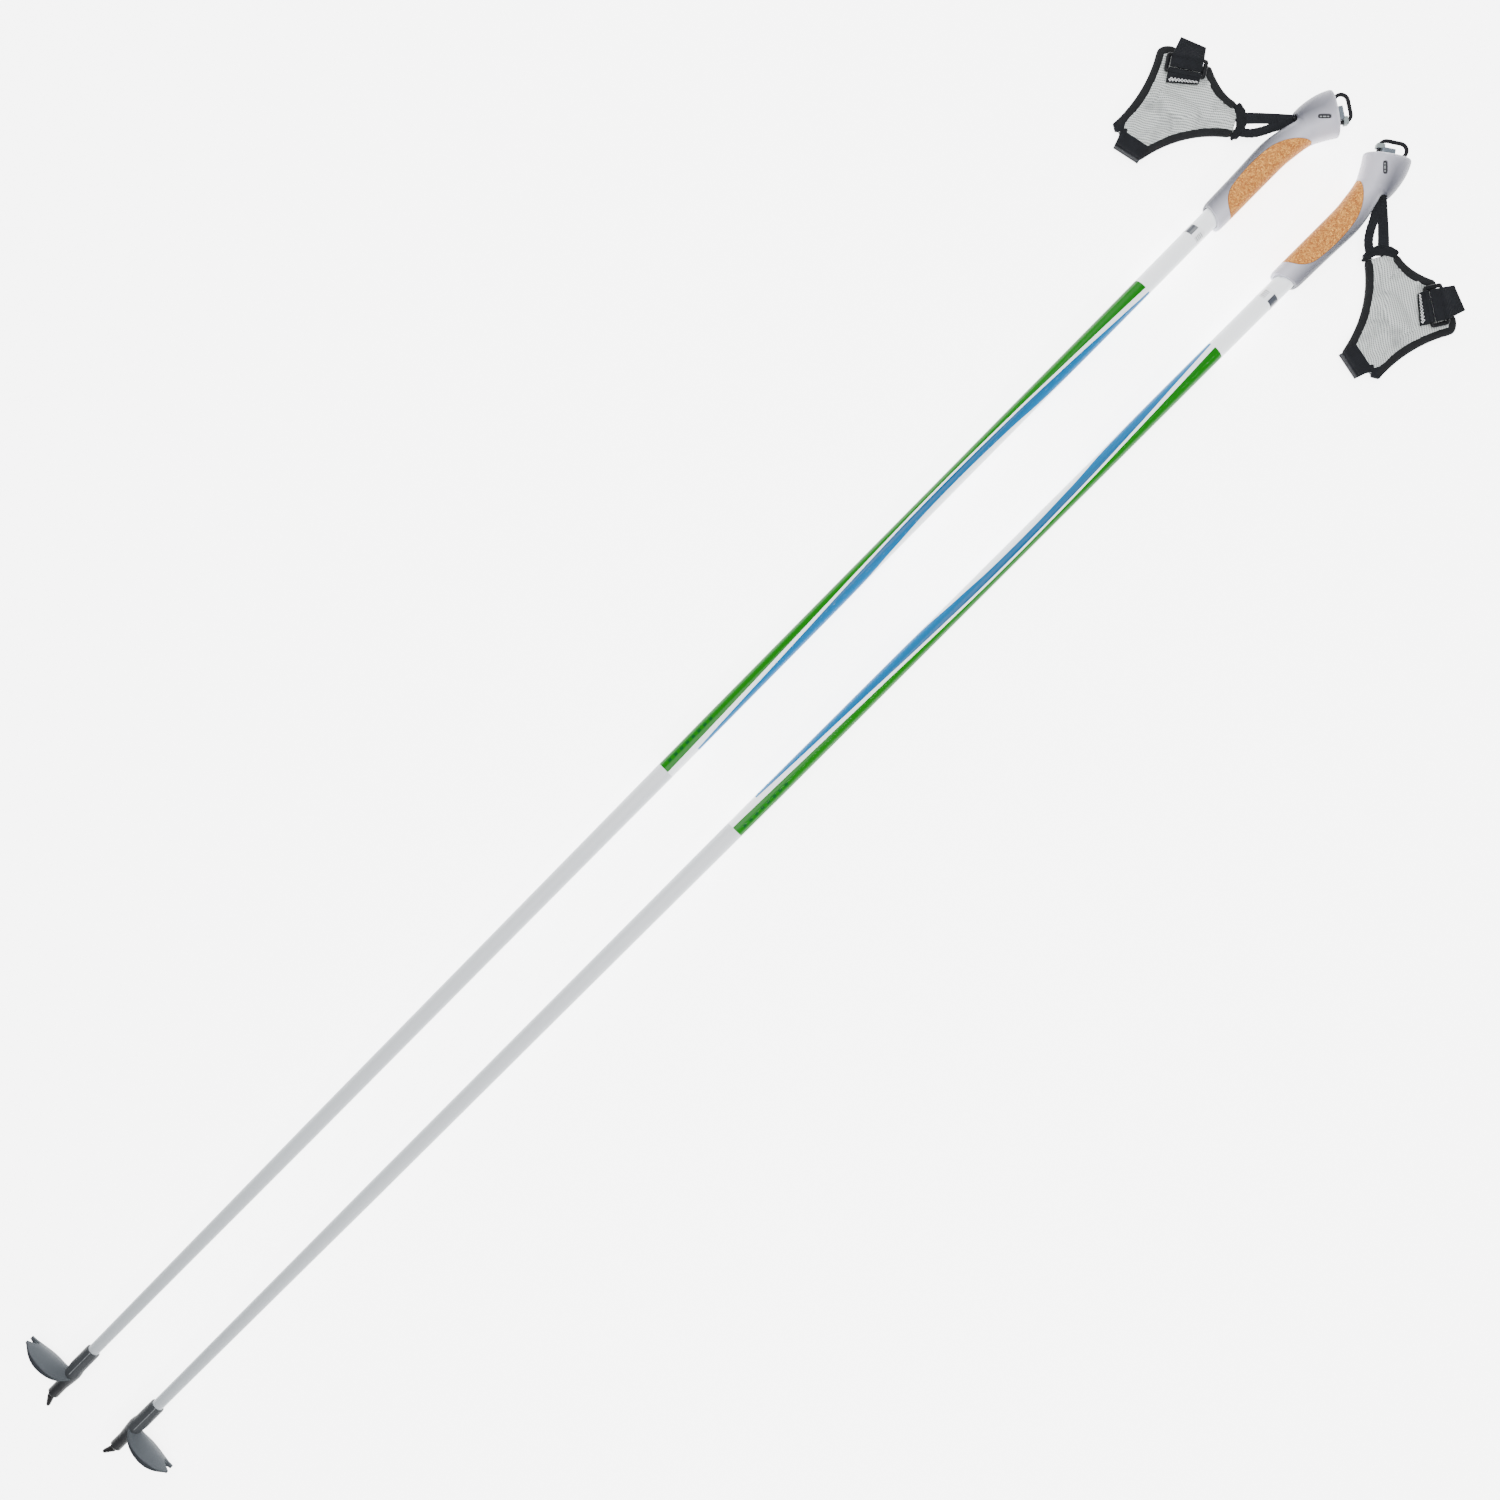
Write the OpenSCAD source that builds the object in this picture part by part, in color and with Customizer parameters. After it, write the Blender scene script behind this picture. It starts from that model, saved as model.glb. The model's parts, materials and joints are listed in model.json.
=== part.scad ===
// A pair of cross-country ski poles lying on their sides, with hand harnesses.
//
// Row frame: +X runs from the spikes to the grips, +Y to the left pole's harness, +Z up.
// The origin lies on the floor, midway along the pair and between the two poles.
// The right pole is the left one mirrored in the XZ plane and moved forward by stagger.
//
// Each sub-part is drawn in the frame of its own pole, in which the shaft axis is X, the
// side that faces the skier's back (harness and basket blade) is +Y, and Z is sideways.
// Lengths along the pole start at a datum on the shaft axis, a little below the grip.

/* [Pair] */
// How far the right pole lies ahead of the left one
stagger = 5.5; // [0:0.5:20]
// Distance from the mid-plane to each shaft axis at the datum
half_gap = 41; // [39:1:60]
// Angle that each shaft turns outwards towards its grip
splay = 0.23; // [0:0.01:0.4]
// Height of the shaft axes above the floor, which is half the width of head and basket
axis_height = 15.5; // [15.5:0.1:16]

/* [Shaft] */
// Outer diameter of the parallel upper shaft
shaft_d = 16.5; // [16.3:0.1:16.5]
// Outer diameter of the shaft inside the basket's sleeve
shaft_tip_d = 10.3; // [9.6:0.1:10.3]
// Wall of the shaft tube
shaft_wall = 1.2; // [0.8:0.1:1.4]
// Distance from the datum down to the bottom edge of the basket's sleeve
pole_reach = 1359; // [1359:1:1362]

/* [Grip] */
// Radius of the hole that the shaft is glued into
grip_bore_r = 8.3; // [8.3:0.05:8.5]
// Radius of the core that the cork is glued onto
cork_core_r = 10.5; // [10:0.1:10.8]
// Corners around the grip
grip_sides = 36; // [24:4:40]

/* [Strap lock] */
// Width of the wedge, across the head
wedge_w = 12; // [10:0.5:12]
// Play between the wedge and its channel
wedge_play = 0.4; // [0.3:0.05:0.5]
// Diameter of the pull cord
cord_d = 3.4; // [3:0.1:3.6]

/* [Harness] */
// Width of the wrist webbing
band_w = 25; // [22:1:25]
// Thickness of the wrist webbing
band_t = 1.6; // [1.2:0.1:1.8]
// Thickness of the padded mesh panel
panel_t = 3; // [2.5:0.1:3]
// Width of the edge binding
binding_w = 6; // [5:0.5:6]
// Length of the closure flap along its longer side, beyond the ring's outer bar
flap_len = 14; // [12:1:20]

/* [Hidden] */
$fn = 64;

gap = 0.05;                       // glued joints, drawn just clear of each other
big = 60;                         // reach of a cut that goes right through
datum_x = 587.41;                 // the datum's place in the row frame
shaft_r = shaft_d / 2;
shaft_tip_r = shaft_tip_d / 2;
shaft_top = 138;
label_u = 17.6;
label_len = 10.2;

// Basket, ferrule and spike
sleeve_len = 50;
sleeve_top = -pole_reach + sleeve_len;
ferrule_r = 5.3;
ferrule_end_len = 11;
ferrule_offset = -0.9;            // the sleeve's lower end sits a little to the front
shaft_end = sleeve_top - 36;
spike_angle = 26;

// Strap channel in the head: it runs from the strap exit, up and forwards to the top face
exit_u = 152.9;
exit_v = 7;
channel_angle = -33.66;
face_n = 31.6;                    // the top face, measured along the channel from the exit
wedge_end_n = 39.2;
lug_t = -10.1;                    // the cord's line through the lug, across the channel
lug_len = 4;
lug_w = 6;
swing_u = 152.7;                  // pivot of the harness, at the strap exit
swing_v = 7.6;

// Heights in the harness, in the pole's frame, where the floor is at -axis_height
floor_z = -axis_height;
panel_z = floor_z + 8;
binding_z = panel_z - 0.6;
binding_t = panel_t + 1.2;
bar_r = 1.4;
loop_r = 2.9;
bar_z = panel_z + panel_t + 0.8 + loop_r;

// Closure frame: its origin is midway between tab and flap, its X points outwards
closure_u = 124.2;
closure_v = 107.8;
closure_angle = 32.5;
inner_bar_x = -10.5;
outer_bar_x = 3.5;

// Wrist band frame: its origin is the folded end, its X points to the closure
wrist_u = 35.5;
wrist_v = 90.2;
wrist_angle = 11.5;

// Sections of the grip from collar to head:
// [along and across at the back, along and across at the front, half width]
grip_sections = [
    [45.6, 10.9, 39.2, -11.8, 11.2], [46.4, 12.0, 39.6, -12.9, 12.2], [60, 12.3, 55, -12.95, 12.4],
    [75, 12.5, 71, -13, 12.6], [88, 12.9, 85, -13, 13], [100, 13.4, 98, -13, 13.3],
    [110, 13.9, 109, -13.05, 13.4], [118, 13.8, 117, -13.1, 13.4], [126, 12.9, 123.5, -13.5, 13.4],
    [133, 11.5, 129.5, -14.3, 13.4], [140, 9.7, 135, -15, 13.5], [146, 7.9, 140.5, -15.8, 13.6],
    [150, 7.0, 145, -16.7, 13.8], [152, 7.6, 146.5, -17.1, 13.9], [153.2, 10.4, 147.6, -17.4, 14],
    [154.6, 12.4, 149, -18, 14.1], [157, 13.2, 151.4, -19, 14.3], [162, 13.1, 154.5, -20.7, 14.6],
    [168, 12.5, 158, -22.7, 15], [175, 11.2, 161, -24.4, 15.5], [181, 9.3, 163.5, -26, 15.5],
    [186, 7.2, 165.8, -27.4, 15], [188.6, 6.0, 167, -28.3, 13.4], [189.5, 5.0, 168, -28.2, 11],
    [189.4, 3.2, 169, -26.8, 7.5], [188.8, 1.0, 169.8, -24.9, 3.6]
];
grip_squareness = 2.3;            // 2 is an ellipse, more is squarer

// Sections of the basket blade, from the sleeve outwards:
// [across, along at the ridge, along at the rim, half width at the rim]
blade_sections = [
    [-6.4, -1333.6, -1334, 3.6], [-3, -1333.4, -1335.8, 7.2], [2, -1333.6, -1339.6, 10.6],
    [8, -1334.2, -1341.7, 13.2], [16.5, -1335.4, -1342.2, 15.5], [23, -1336.3, -1342.5, 15.4],
    [29, -1337.1, -1342.6, 14.4], [35, -1337.9, -1342.1, 12], [40, -1338.6, -1341, 9.1],
    [44, -1339, -1339.9, 5.9], [46, -1339.2, -1340, 4.6]
];
blade_cap = [
    [0, 1, 9], [0, 9, 10], [0, 10, 11], [1, 2, 8], [1, 8, 9],
    [2, 3, 7], [2, 7, 8], [3, 4, 6], [3, 6, 7], [4, 5, 6]
];
blade_rim_t = 3.1;                // thickness at the widest rim; it thins towards the tips

// Route of the pull cord, measured along and across the wedge's channel from the strap exit
cord_route = [
    [35, 2.7], [34.9, 5], [34.9, 7.6], [35.7, 10.6], [38, 12.9], [41, 13.7], [44, 12.9], [46.3, 10.6],
    [47.1, 7.6], [47.1, 4], [47.1, 0], [47.1, -4], [46.3, -7], [44, -9.3], [41, -10.1], [38, -10.1],
    [34.4, -10.1]
];

// ---- helpers -------------------------------------------------------------

// A quadratic curve from a to c that leans towards b
function bow(a, b, c, n = 12) =
    [for (i = [0:n]) let (t = i / n) (1 - t) * (1 - t) * a + 2 * t * (1 - t) * b + t * t * c];

function unit2(p) = p / norm(p);

function tangent(p, i) =
    unit2(p[min(i + 1, len(p) - 1)] - p[max(i - 1, 0)]);

// The line of points moved to its left by d
function beside(p, d) =
    [for (i = [0:len(p) - 1]) let (t = tangent(p, i)) p[i] + d * [-t[1], t[0]]];

function reversed(p) = [for (i = [len(p) - 1:-1:0]) p[i]];

function ribbon(p, a, b) = concat(beside(p, a), reversed(beside(p, b)));

function signed_power(x, e) = sign(x) * pow(abs(x), e);

// One section of the grip as points in space
function grip_ring(g) =
    let (
        back = [g[0], g[1]],
        front = [g[2], g[3]],
        mid = (back + front) / 2,
        half = (back - front) / 2
    )
    [for (i = [0:grip_sides - 1])
        let (
            a = 360 * i / grip_sides,
            c = signed_power(cos(a), 2 / grip_squareness),
            s = signed_power(sin(a), 2 / grip_squareness)
        )
        [mid[0] + half[0] * c, mid[1] + half[1] * c, g[4] * s]];

// Triangles that fill a ring of n points whose shape is convex
function fan(n) = [for (i = [1:n - 2]) [0, i, i + 1]];

// Triangles that join rings of n points into a closed skin, with the triangles cap at both ends
function skin_faces(rings, n, cap) = concat(
    [for (r = [0:rings - 2], i = [0:n - 1]) let (j = (i + 1) % n, a = r * n, b = a + n) each
        [[a + i, b + i, b + j], [a + i, b + j, a + j]]],
    cap,
    [for (c = cap) let (a = (rings - 1) * n) [a + c[0], a + c[2], a + c[1]]]
);

module skin(rings, cap = undef) {
    n = len(rings[0]);
    polyhedron(
        points = [for (r = rings) each r],
        faces = skin_faces(len(rings), n, is_undef(cap) ? fan(n) : cap),
        convexity = 6
    );
}

// A tube of radius r swept through points that lie in the plane Z = 0
module plane_tube(p, r, sides = 8) {
    skin([for (i = [0:len(p) - 1])
        let (t = tangent(p, i), across = [-t[1], t[0]])
        [for (k = [0:sides - 1])
            let (a = 360 * k / sides)
            [p[i][0] + across[0] * r * cos(a), p[i][1] + across[1] * r * cos(a), r * sin(a)]]]);
}

// A solid of revolution about the shaft axis, from a profile of [along, radius]
module turned(profile) {
    rotate([0, 90, 0])
        rotate_extrude()
            polygon([for (p = profile) [p[1], p[0]]]);
}

// A plate from z, t thick, with the outline p
module plate(p, z, t) {
    translate([0, 0, z])
        linear_extrude(height = t, convexity = 6)
            polygon(p);
}

module at_channel() {
    translate([exit_u, exit_v, 0])
        rotate([0, 0, channel_angle])
            children();
}

module at_closure() {
    translate([closure_u, closure_v, 0])
        rotate([0, 0, closure_angle])
            children();
}

module at_wrist() {
    translate([wrist_u, wrist_v, 0])
        rotate([0, 0, wrist_angle])
            children();
}

// A side profile of [along, height], as wide as the webbing and centred on it
module webbing_strip(profile) {
    rotate([90, 0, 0])
        linear_extrude(height = band_w, center = true, convexity = 6)
            polygon(profile);
}

module left_pole() {
    translate([datum_x, half_gap, axis_height])
        rotate([0, 0, splay])
            children();
}

module right_pole() {
    translate([stagger, 0, 0])
        mirror([0, 1, 0])
            left_pole()
                children();
}

// ---- shaft ---------------------------------------------------------------

shaft_outer = [
    [shaft_end, shaft_tip_r], [sleeve_top, shaft_tip_r], [-1048, 6.8], [-776, 7.55],
    [-570, shaft_r], [shaft_top, shaft_r]
];

module shaft_tube() {
    inner = [for (p = shaft_outer) [p[0], p[1] - shaft_wall]];
    color([0.93, 0.94, 0.95])
        turned(concat(shaft_outer, reversed(inner)));
}

module size_label() {
    low = shaft_r + gap;
    high = low + 0.2;
    color([0.32, 0.34, 0.38])
        turned([
            [label_u, low], [label_u, high], [label_u + label_len, high], [label_u + label_len, low]
        ]);
}

module shaft_top_plug() {
    plug_r = shaft_r - shaft_wall - gap;
    color([0.2, 0.2, 0.22])
        turned([
            [shaft_top - 20, 0], [shaft_top - 20, plug_r - 1], [shaft_top - 18, plug_r],
            [shaft_top + gap, plug_r], [shaft_top + gap, shaft_r], [shaft_top + 2, shaft_r],
            [shaft_top + 2.6, shaft_r - 1], [shaft_top + 2.6, 0]
        ]);
}

// ---- grip ----------------------------------------------------------------

module grip_form() {
    skin([for (g = grip_sections) grip_ring(g)]);
}

cork_edge = concat(
    bow([52.3, -14], [55, 4.5], [74, 6.5]),
    bow([74, 6.5], [97, 9.5], [116, 5.8]),
    bow([116, 5.8], [134, 1.5], [146.5, -17]),
    [[152, -34], [50, -34]]
);

module cork_region(core_r) {
    difference() {
        plate(cork_edge, -big / 2, big);
        turned([[40, 0], [40, core_r], [160, core_r], [160, 0]]);
    }
}

module strap_channel() {
    half_w = wedge_w / 2 + wedge_play;
    at_channel()
        plate([
            [-4, -3.2], [8, -4.4 - wedge_play], [face_n, -8 - wedge_play], [face_n + 12, -9.6 - wedge_play],
            [face_n + 12, 6.4], [face_n, 5.6], [8, 3.5], [-4, 3.3]
        ], -half_w, 2 * half_w);
}

// A slot in the mid-plane that gives the strap room to swing
module swing_slot() {
    half_w = 1.8;
    plate([
        [156.6, 4.2], [148, 5.2], [140, 8.3], [133, 10.4], [126, 14], [126, 24], [158.4, 24]
    ], -half_w, 2 * half_w);
}

module side_window() {
    at_channel()
        translate([18.2, -6.4, 0])
            for (end = [-4, 4])
                translate([end, 0, -big / 2])
                    cylinder(h = big, r = 1.5);
    at_channel()
        translate([14.2, -7.9, -big / 2])
            cube([8, 3, big]);
}

module grip_body() {
    color([0.78, 0.78, 0.8])
        difference() {
            grip_form();
            cork_region(cork_core_r);
            turned([
                [20, 0], [20, grip_bore_r + 0.7], [48, grip_bore_r + 0.7], [48, grip_bore_r],
                [shaft_top + 3, grip_bore_r], [shaft_top + 3, 0]
            ]);
            strap_channel();
            swing_slot();
            translate([swing_u, swing_v, -5.2])
                cylinder(h = 10.4, r = 3.2);
            side_window();
        }
}

module cork_inlay() {
    color([0.8, 0.6, 0.37])
        intersection() {
            grip_form();
            cork_region(cork_core_r + gap);
        }
}

// The strap's end inside the head, which the wedge presses against the channel's wall
module strap_anchor() {
    half_w = wedge_w / 2 - 0.6;
    color([0.1, 0.11, 0.12])
        at_channel()
            plate([[4, 0.9], [28, 2.9], [28, 4.9], [8, 3.2], [4, 3]], -half_w, 2 * half_w);
}

// ---- basket, ferrule and spike ---------------------------------------------

module at_ferrule() {
    translate([-pole_reach, ferrule_offset, 0])
        rotate([0, 90, 0])
            children();
}

module ferrule_sleeve() {
    shoulder = sleeve_len - 25;
    color([0.31, 0.33, 0.34])
        difference() {
            union() {
                at_ferrule() cylinder(h = ferrule_end_len, r = ferrule_r);
                at_ferrule() translate([0, 0, ferrule_end_len])
                    cylinder(h = shoulder - ferrule_end_len, r1 = ferrule_r, r2 = 7);
                translate([-pole_reach + shoulder, ferrule_offset, 0])
                    rotate([0, 90, 0]) cylinder(h = 4, r = 7);
                turned([
                    [-pole_reach + shoulder + 2, 0], [-pole_reach + shoulder + 2, 6.5],
                    [sleeve_top - 1, 6.2], [sleeve_top, 5.9], [sleeve_top, 0]
                ]);
            }
            turned([
                [shaft_end - gap, 0], [shaft_end - gap, shaft_tip_r + gap],
                [sleeve_top + 1, shaft_tip_r + gap], [sleeve_top + 1, 0]
            ]);
            at_ferrule() translate([0, 0, -1]) cylinder(h = 12.1, r = 2.55);
        }
}

// One section of the blade: a roof that thickens towards its rims
function blade_ring(s) =
    let (
        ridge = s[1],
        rim = s[2],
        half = s[3],
        bend = ridge + (rim - ridge) * 0.45,
        rim_t = 1.4 + (blade_rim_t - 1.4) * half / axis_height,
        web_t = rim_t * 0.7
    )
    [for (p = [
        [rim, -half], [bend, -half * 0.55], [ridge, 0], [bend, half * 0.55], [rim, half],
        [rim - rim_t, half], [rim - rim_t, half * 0.9], [bend - web_t, half * 0.5],
        [ridge - web_t, 0],
        [bend - web_t, -half * 0.5], [rim - rim_t, -half * 0.9], [rim - rim_t, -half]
    ]) [p[0], s[0], p[1]]];

module basket_blade() {
    notch_v = 38;
    color([0.45, 0.46, 0.48])
        difference() {
            skin([for (s = blade_sections) blade_ring(s)], blade_cap);
            at_ferrule() cylinder(h = 60, r = 7.4, $fn = 12);
            translate([-pole_reach, 0, 0])
                rotate([0, 90, 0])
                    linear_extrude(height = 40)
                        polygon([[0, notch_v], [6, notch_v + 12], [-6, notch_v + 12]]);
        }
}

// The steel shank that holds the spike, glued into the ferrule
module tip_shank() {
    color([0.6, 0.6, 0.62])
        at_ferrule() translate([0, 0, 0.2]) cylinder(h = 10.6, r = 2.5);
}

module carbide_tip() {
    color([0.1, 0.1, 0.1])
        translate([-pole_reach, 0, 0])
            rotate([0, 0, spike_angle])
                rotate([0, -90, 0]) {
                    translate([0, 0, 1.3]) cylinder(h = 9.5, r1 = 2.7, r2 = 1);
                    translate([0, 0, 10.8]) cylinder(h = 1, r1 = 1, r2 = 0.5);
                }
}

// ---- strap lock ------------------------------------------------------------

module strap_wedge() {
    heel_len = 1.7;
    color([0.49, 0.52, 0.55])
        at_channel() {
            difference() {
                plate([
                    [8, -4.4], [8.8, -4.6], [face_n, -8], [wedge_end_n - 1, -8], [wedge_end_n, -7.2],
                    [wedge_end_n, 1.8], [wedge_end_n - 1, 2.6], [face_n, 2.6], [8.8, 0.6], [8, 0.4]
                ], -wedge_w / 2, wedge_w);
                translate([20, big / 2, 0])
                    rotate([90, 0, 0])
                        cylinder(h = big, r = 1.6);
            }
            translate([face_n + 1, lug_t - 2.3, -lug_w / 2]) cube([heel_len, 4.6, lug_w]);
        }
}

// The eye on the wedge's outer end, through which the cord runs back to the wedge's heel
module cord_lug() {
    hole_r = cord_d / 2 + 0.1;
    color([0.62, 0.66, 0.66])
        at_channel()
            difference() {
                translate([wedge_end_n + gap, lug_t - 2.8, -lug_w / 2]) cube([lug_len, 7.1, lug_w]);
                translate([wedge_end_n, lug_t, 0])
                    rotate([0, 90, 0])
                        cylinder(h = lug_len + 1, r1 = hole_r, r2 = hole_r + 0.8);
            }
}

module pull_cord() {
    color([0.08, 0.08, 0.09])
        at_channel()
            plane_tube(cord_route, cord_d / 2);
}

// ---- harness -----------------------------------------------------------------

// The three hollow edges of the panel, each drawn with the panel on its left
rear_edge = bow([116, 133.6], [83, 114], [44, 116.4], 14);
inner_edge = bow([41, 77], [83, 68.5], [107, 35.6], 14);
upper_edge = bow([132, 52], [126.5, 66], [137, 89], 10);

module strap_webbing() {
    band_top = 1.2;
    lower_line = bow([150.6, 8], [122, 19], [112.5, 35.5], 12);
    color([0.1, 0.11, 0.12]) {
        translate([swing_u, swing_v, -4.5]) cylinder(h = 9, r = 2.6);
        plate([[154, 9.4], [150.6, 5.9], [121.5, 37.5], [128.5, 46.5]], -band_top, 2 * band_top);
        plate(ribbon(lower_line, -2.4, 2.4), -band_top, 2 * band_top);
        plate([
            [105, 36], [110.2, 31.6], [123, 34.5], [131, 44], [131.6, 51.5], [124, 53], [118.5, 42],
            [111, 39]
        ], binding_z + binding_t + gap, band_top - binding_z - binding_t - gap);
    }
}

function panel_outline() = concat(
    beside(rear_edge, 2),
    beside(inner_edge, 2),
    beside(upper_edge, 2),
    [[134.5, 93.5], [119, 128]]
);

module panel_slab(grow = 0) {
    plate(panel_outline(), panel_z - grow, panel_t + 2 * grow);
}

module harness_panel() {
    color([0.75, 0.77, 0.78]) panel_slab();
}

// Binding tape folded over one edge of the panel
module binding(edge) {
    color([0.16, 0.17, 0.18])
        difference() {
            plate(ribbon(edge, 0, binding_w), binding_z, binding_t);
            panel_slab(gap);
        }
}

module rear_binding() binding(rear_edge);

module inner_binding() binding(inner_edge);

module upper_binding() binding(upper_edge);

// Webbing that is sewn to the panel and loops around the ring's inner bar
module ring_tab() {
    tab_end = -18;
    low = panel_z + panel_t + gap;
    color([0.1, 0.11, 0.12])
        at_closure()
            difference() {
                union() {
                    webbing_strip([
                        [tab_end, low], [tab_end, low + band_t], [inner_bar_x - 2, bar_z + loop_r - 1.4],
                        [inner_bar_x, bar_z], [inner_bar_x - 0.5, low]
                    ]);
                    translate([inner_bar_x, 0, bar_z])
                        rotate([90, 0, 0]) cylinder(h = band_w, r = loop_r, center = true);
                }
                translate([inner_bar_x, 0, bar_z])
                    rotate([90, 0, 0]) cylinder(h = big, r = bar_r + 0.35, center = true);
            }
}

module closure_ring() {
    side_bar_y = band_w / 2 + 3.2;
    mid_x = (inner_bar_x + outer_bar_x) / 2;
    color([0.22, 0.23, 0.25])
        at_closure()
            translate([0, 0, bar_z]) {
                for (x = [inner_bar_x, outer_bar_x])
                    translate([x, 0, 0])
                        rotate([90, 0, 0]) cylinder(h = 2 * side_bar_y, r = bar_r, center = true);
                for (side = [-1, 1])
                    translate([mid_x, side * side_bar_y, 0])
                        rotate([0, 90, 0])
                            cylinder(h = outer_bar_x - inner_bar_x, r = bar_r, center = true);
                for (x = [inner_bar_x, outer_bar_x], side = [-1, 1])
                    translate([x, side * side_bar_y, 0])
                        sphere(r = bar_r + 0.2);
            }
}

// The wrist band's free end, folded over the ring's outer bar and peeled open to let the hand out
module closure_flap() {
    flap_end = outer_bar_x + flap_len;
    skew = 5;
    color([0.1, 0.11, 0.12])
        at_closure()
            difference() {
                union() {
                    intersection() {
                        webbing_strip([
                            [outer_bar_x, bar_z + loop_r], [outer_bar_x, bar_z + loop_r - band_t],
                            [outer_bar_x + 3, bar_z - 0.5], [flap_end, bar_z - 1.4 - band_t],
                            [flap_end, bar_z + 0.2], [outer_bar_x + 3, bar_z + 2.2]
                        ]);
                        plate([
                            [outer_bar_x - 1, -band_w], [outer_bar_x - 1, band_w],
                            [flap_end + skew / 2, band_w], [flap_end - 3 * skew / 2, -band_w]
                        ], floor_z, big);
                    }
                    translate([outer_bar_x, 0, bar_z])
                        rotate([90, 0, 0]) cylinder(h = band_w, r = loop_r, center = true);
                }
                translate([outer_bar_x, 0, bar_z])
                    rotate([90, 0, 0]) cylinder(h = big, r = bar_r + 0.35, center = true);
            }
}

// The band that goes round the wrist, lying on the floor under the panel
module closure_band() {
    low = floor_z + 0.4;
    reach = 88;
    color([0.1, 0.11, 0.12])
        at_wrist()
            webbing_strip([
                [8, low], [reach, low], [reach + 3, low + 2], [reach + 6, panel_z - 1.2],
                [reach + 4, panel_z - 0.6], [reach, low + 3], [reach - 2, low + band_t],
                [8, low + band_t]
            ]);
}

// The wrist band's sewn end, folded round the panel's corner
module wrist_band_end() {
    low = floor_z + 0.4;
    high = binding_z + binding_t + 0.3;
    fold = 1.7;
    color([0.1, 0.11, 0.12])
        at_wrist()
            webbing_strip([
                [13, high], [13, high + band_t], [2, high + band_t], [0, high + band_t - 2],
                [0, low + 2], [2, low], [8 - gap, low], [8 - gap, low + band_t],
                [fold + 1, low + band_t], [fold, low + band_t + 1], [fold, high - 1], [fold + 1, high]
            ]);
}

// ---- the pair ------------------------------------------------------------------

left_pole() shaft_tube();  // left_shaft_tube
left_pole() size_label();  // left_size_label
left_pole() shaft_top_plug();  // left_shaft_top_plug
left_pole() grip_body();  // left_grip_body
left_pole() cork_inlay();  // left_cork_inlay
left_pole() strap_anchor();  // left_strap_anchor
left_pole() ferrule_sleeve();  // left_ferrule_sleeve
left_pole() basket_blade();  // left_basket_blade
left_pole() tip_shank();  // left_tip_shank
left_pole() carbide_tip();  // left_carbide_tip
left_pole() strap_wedge();  // left_strap_wedge
left_pole() cord_lug();  // left_cord_lug
left_pole() pull_cord();  // left_pull_cord
left_pole() strap_webbing();  // left_strap_webbing
left_pole() harness_panel();  // left_harness_panel
left_pole() rear_binding();  // left_rear_binding
left_pole() inner_binding();  // left_inner_binding
left_pole() upper_binding();  // left_upper_binding
left_pole() ring_tab();  // left_ring_tab
left_pole() closure_band();  // left_closure_band
left_pole() wrist_band_end();  // left_wrist_band_end
left_pole() closure_ring();  // left_closure_ring
left_pole() closure_flap();  // left_closure_flap

right_pole() shaft_tube();  // right_shaft_tube
right_pole() size_label();  // right_size_label
right_pole() shaft_top_plug();  // right_shaft_top_plug
right_pole() grip_body();  // right_grip_body
right_pole() cork_inlay();  // right_cork_inlay
right_pole() strap_anchor();  // right_strap_anchor
right_pole() ferrule_sleeve();  // right_ferrule_sleeve
right_pole() basket_blade();  // right_basket_blade
right_pole() tip_shank();  // right_tip_shank
right_pole() carbide_tip();  // right_carbide_tip
right_pole() strap_wedge();  // right_strap_wedge
right_pole() cord_lug();  // right_cord_lug
right_pole() pull_cord();  // right_pull_cord
right_pole() strap_webbing();  // right_strap_webbing
right_pole() harness_panel();  // right_harness_panel
right_pole() rear_binding();  // right_rear_binding
right_pole() inner_binding();  // right_inner_binding
right_pole() upper_binding();  // right_upper_binding
right_pole() ring_tab();  // right_ring_tab
right_pole() closure_band();  // right_closure_band
right_pole() wrist_band_end();  // right_wrist_band_end
right_pole() closure_ring();  // right_closure_ring
right_pole() closure_flap();  // right_closure_flap
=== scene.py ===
# %% [markdown]
# # A pair of cross-country ski poles
#
# Two long tapered shafts, each with a cork grip and a hand harness at one end and a half
# basket with an angled spike at the other. The hard model is already made and packed, and
# it says where everything is. This lesson builds the looks round it: moulded and cork
# surfaces, woven webbing, a mesh panel that hangs like cloth, and painted stripes.

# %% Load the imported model
import json
import math

import bmesh
import bpy
from mathutils import Matrix, Vector


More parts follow.
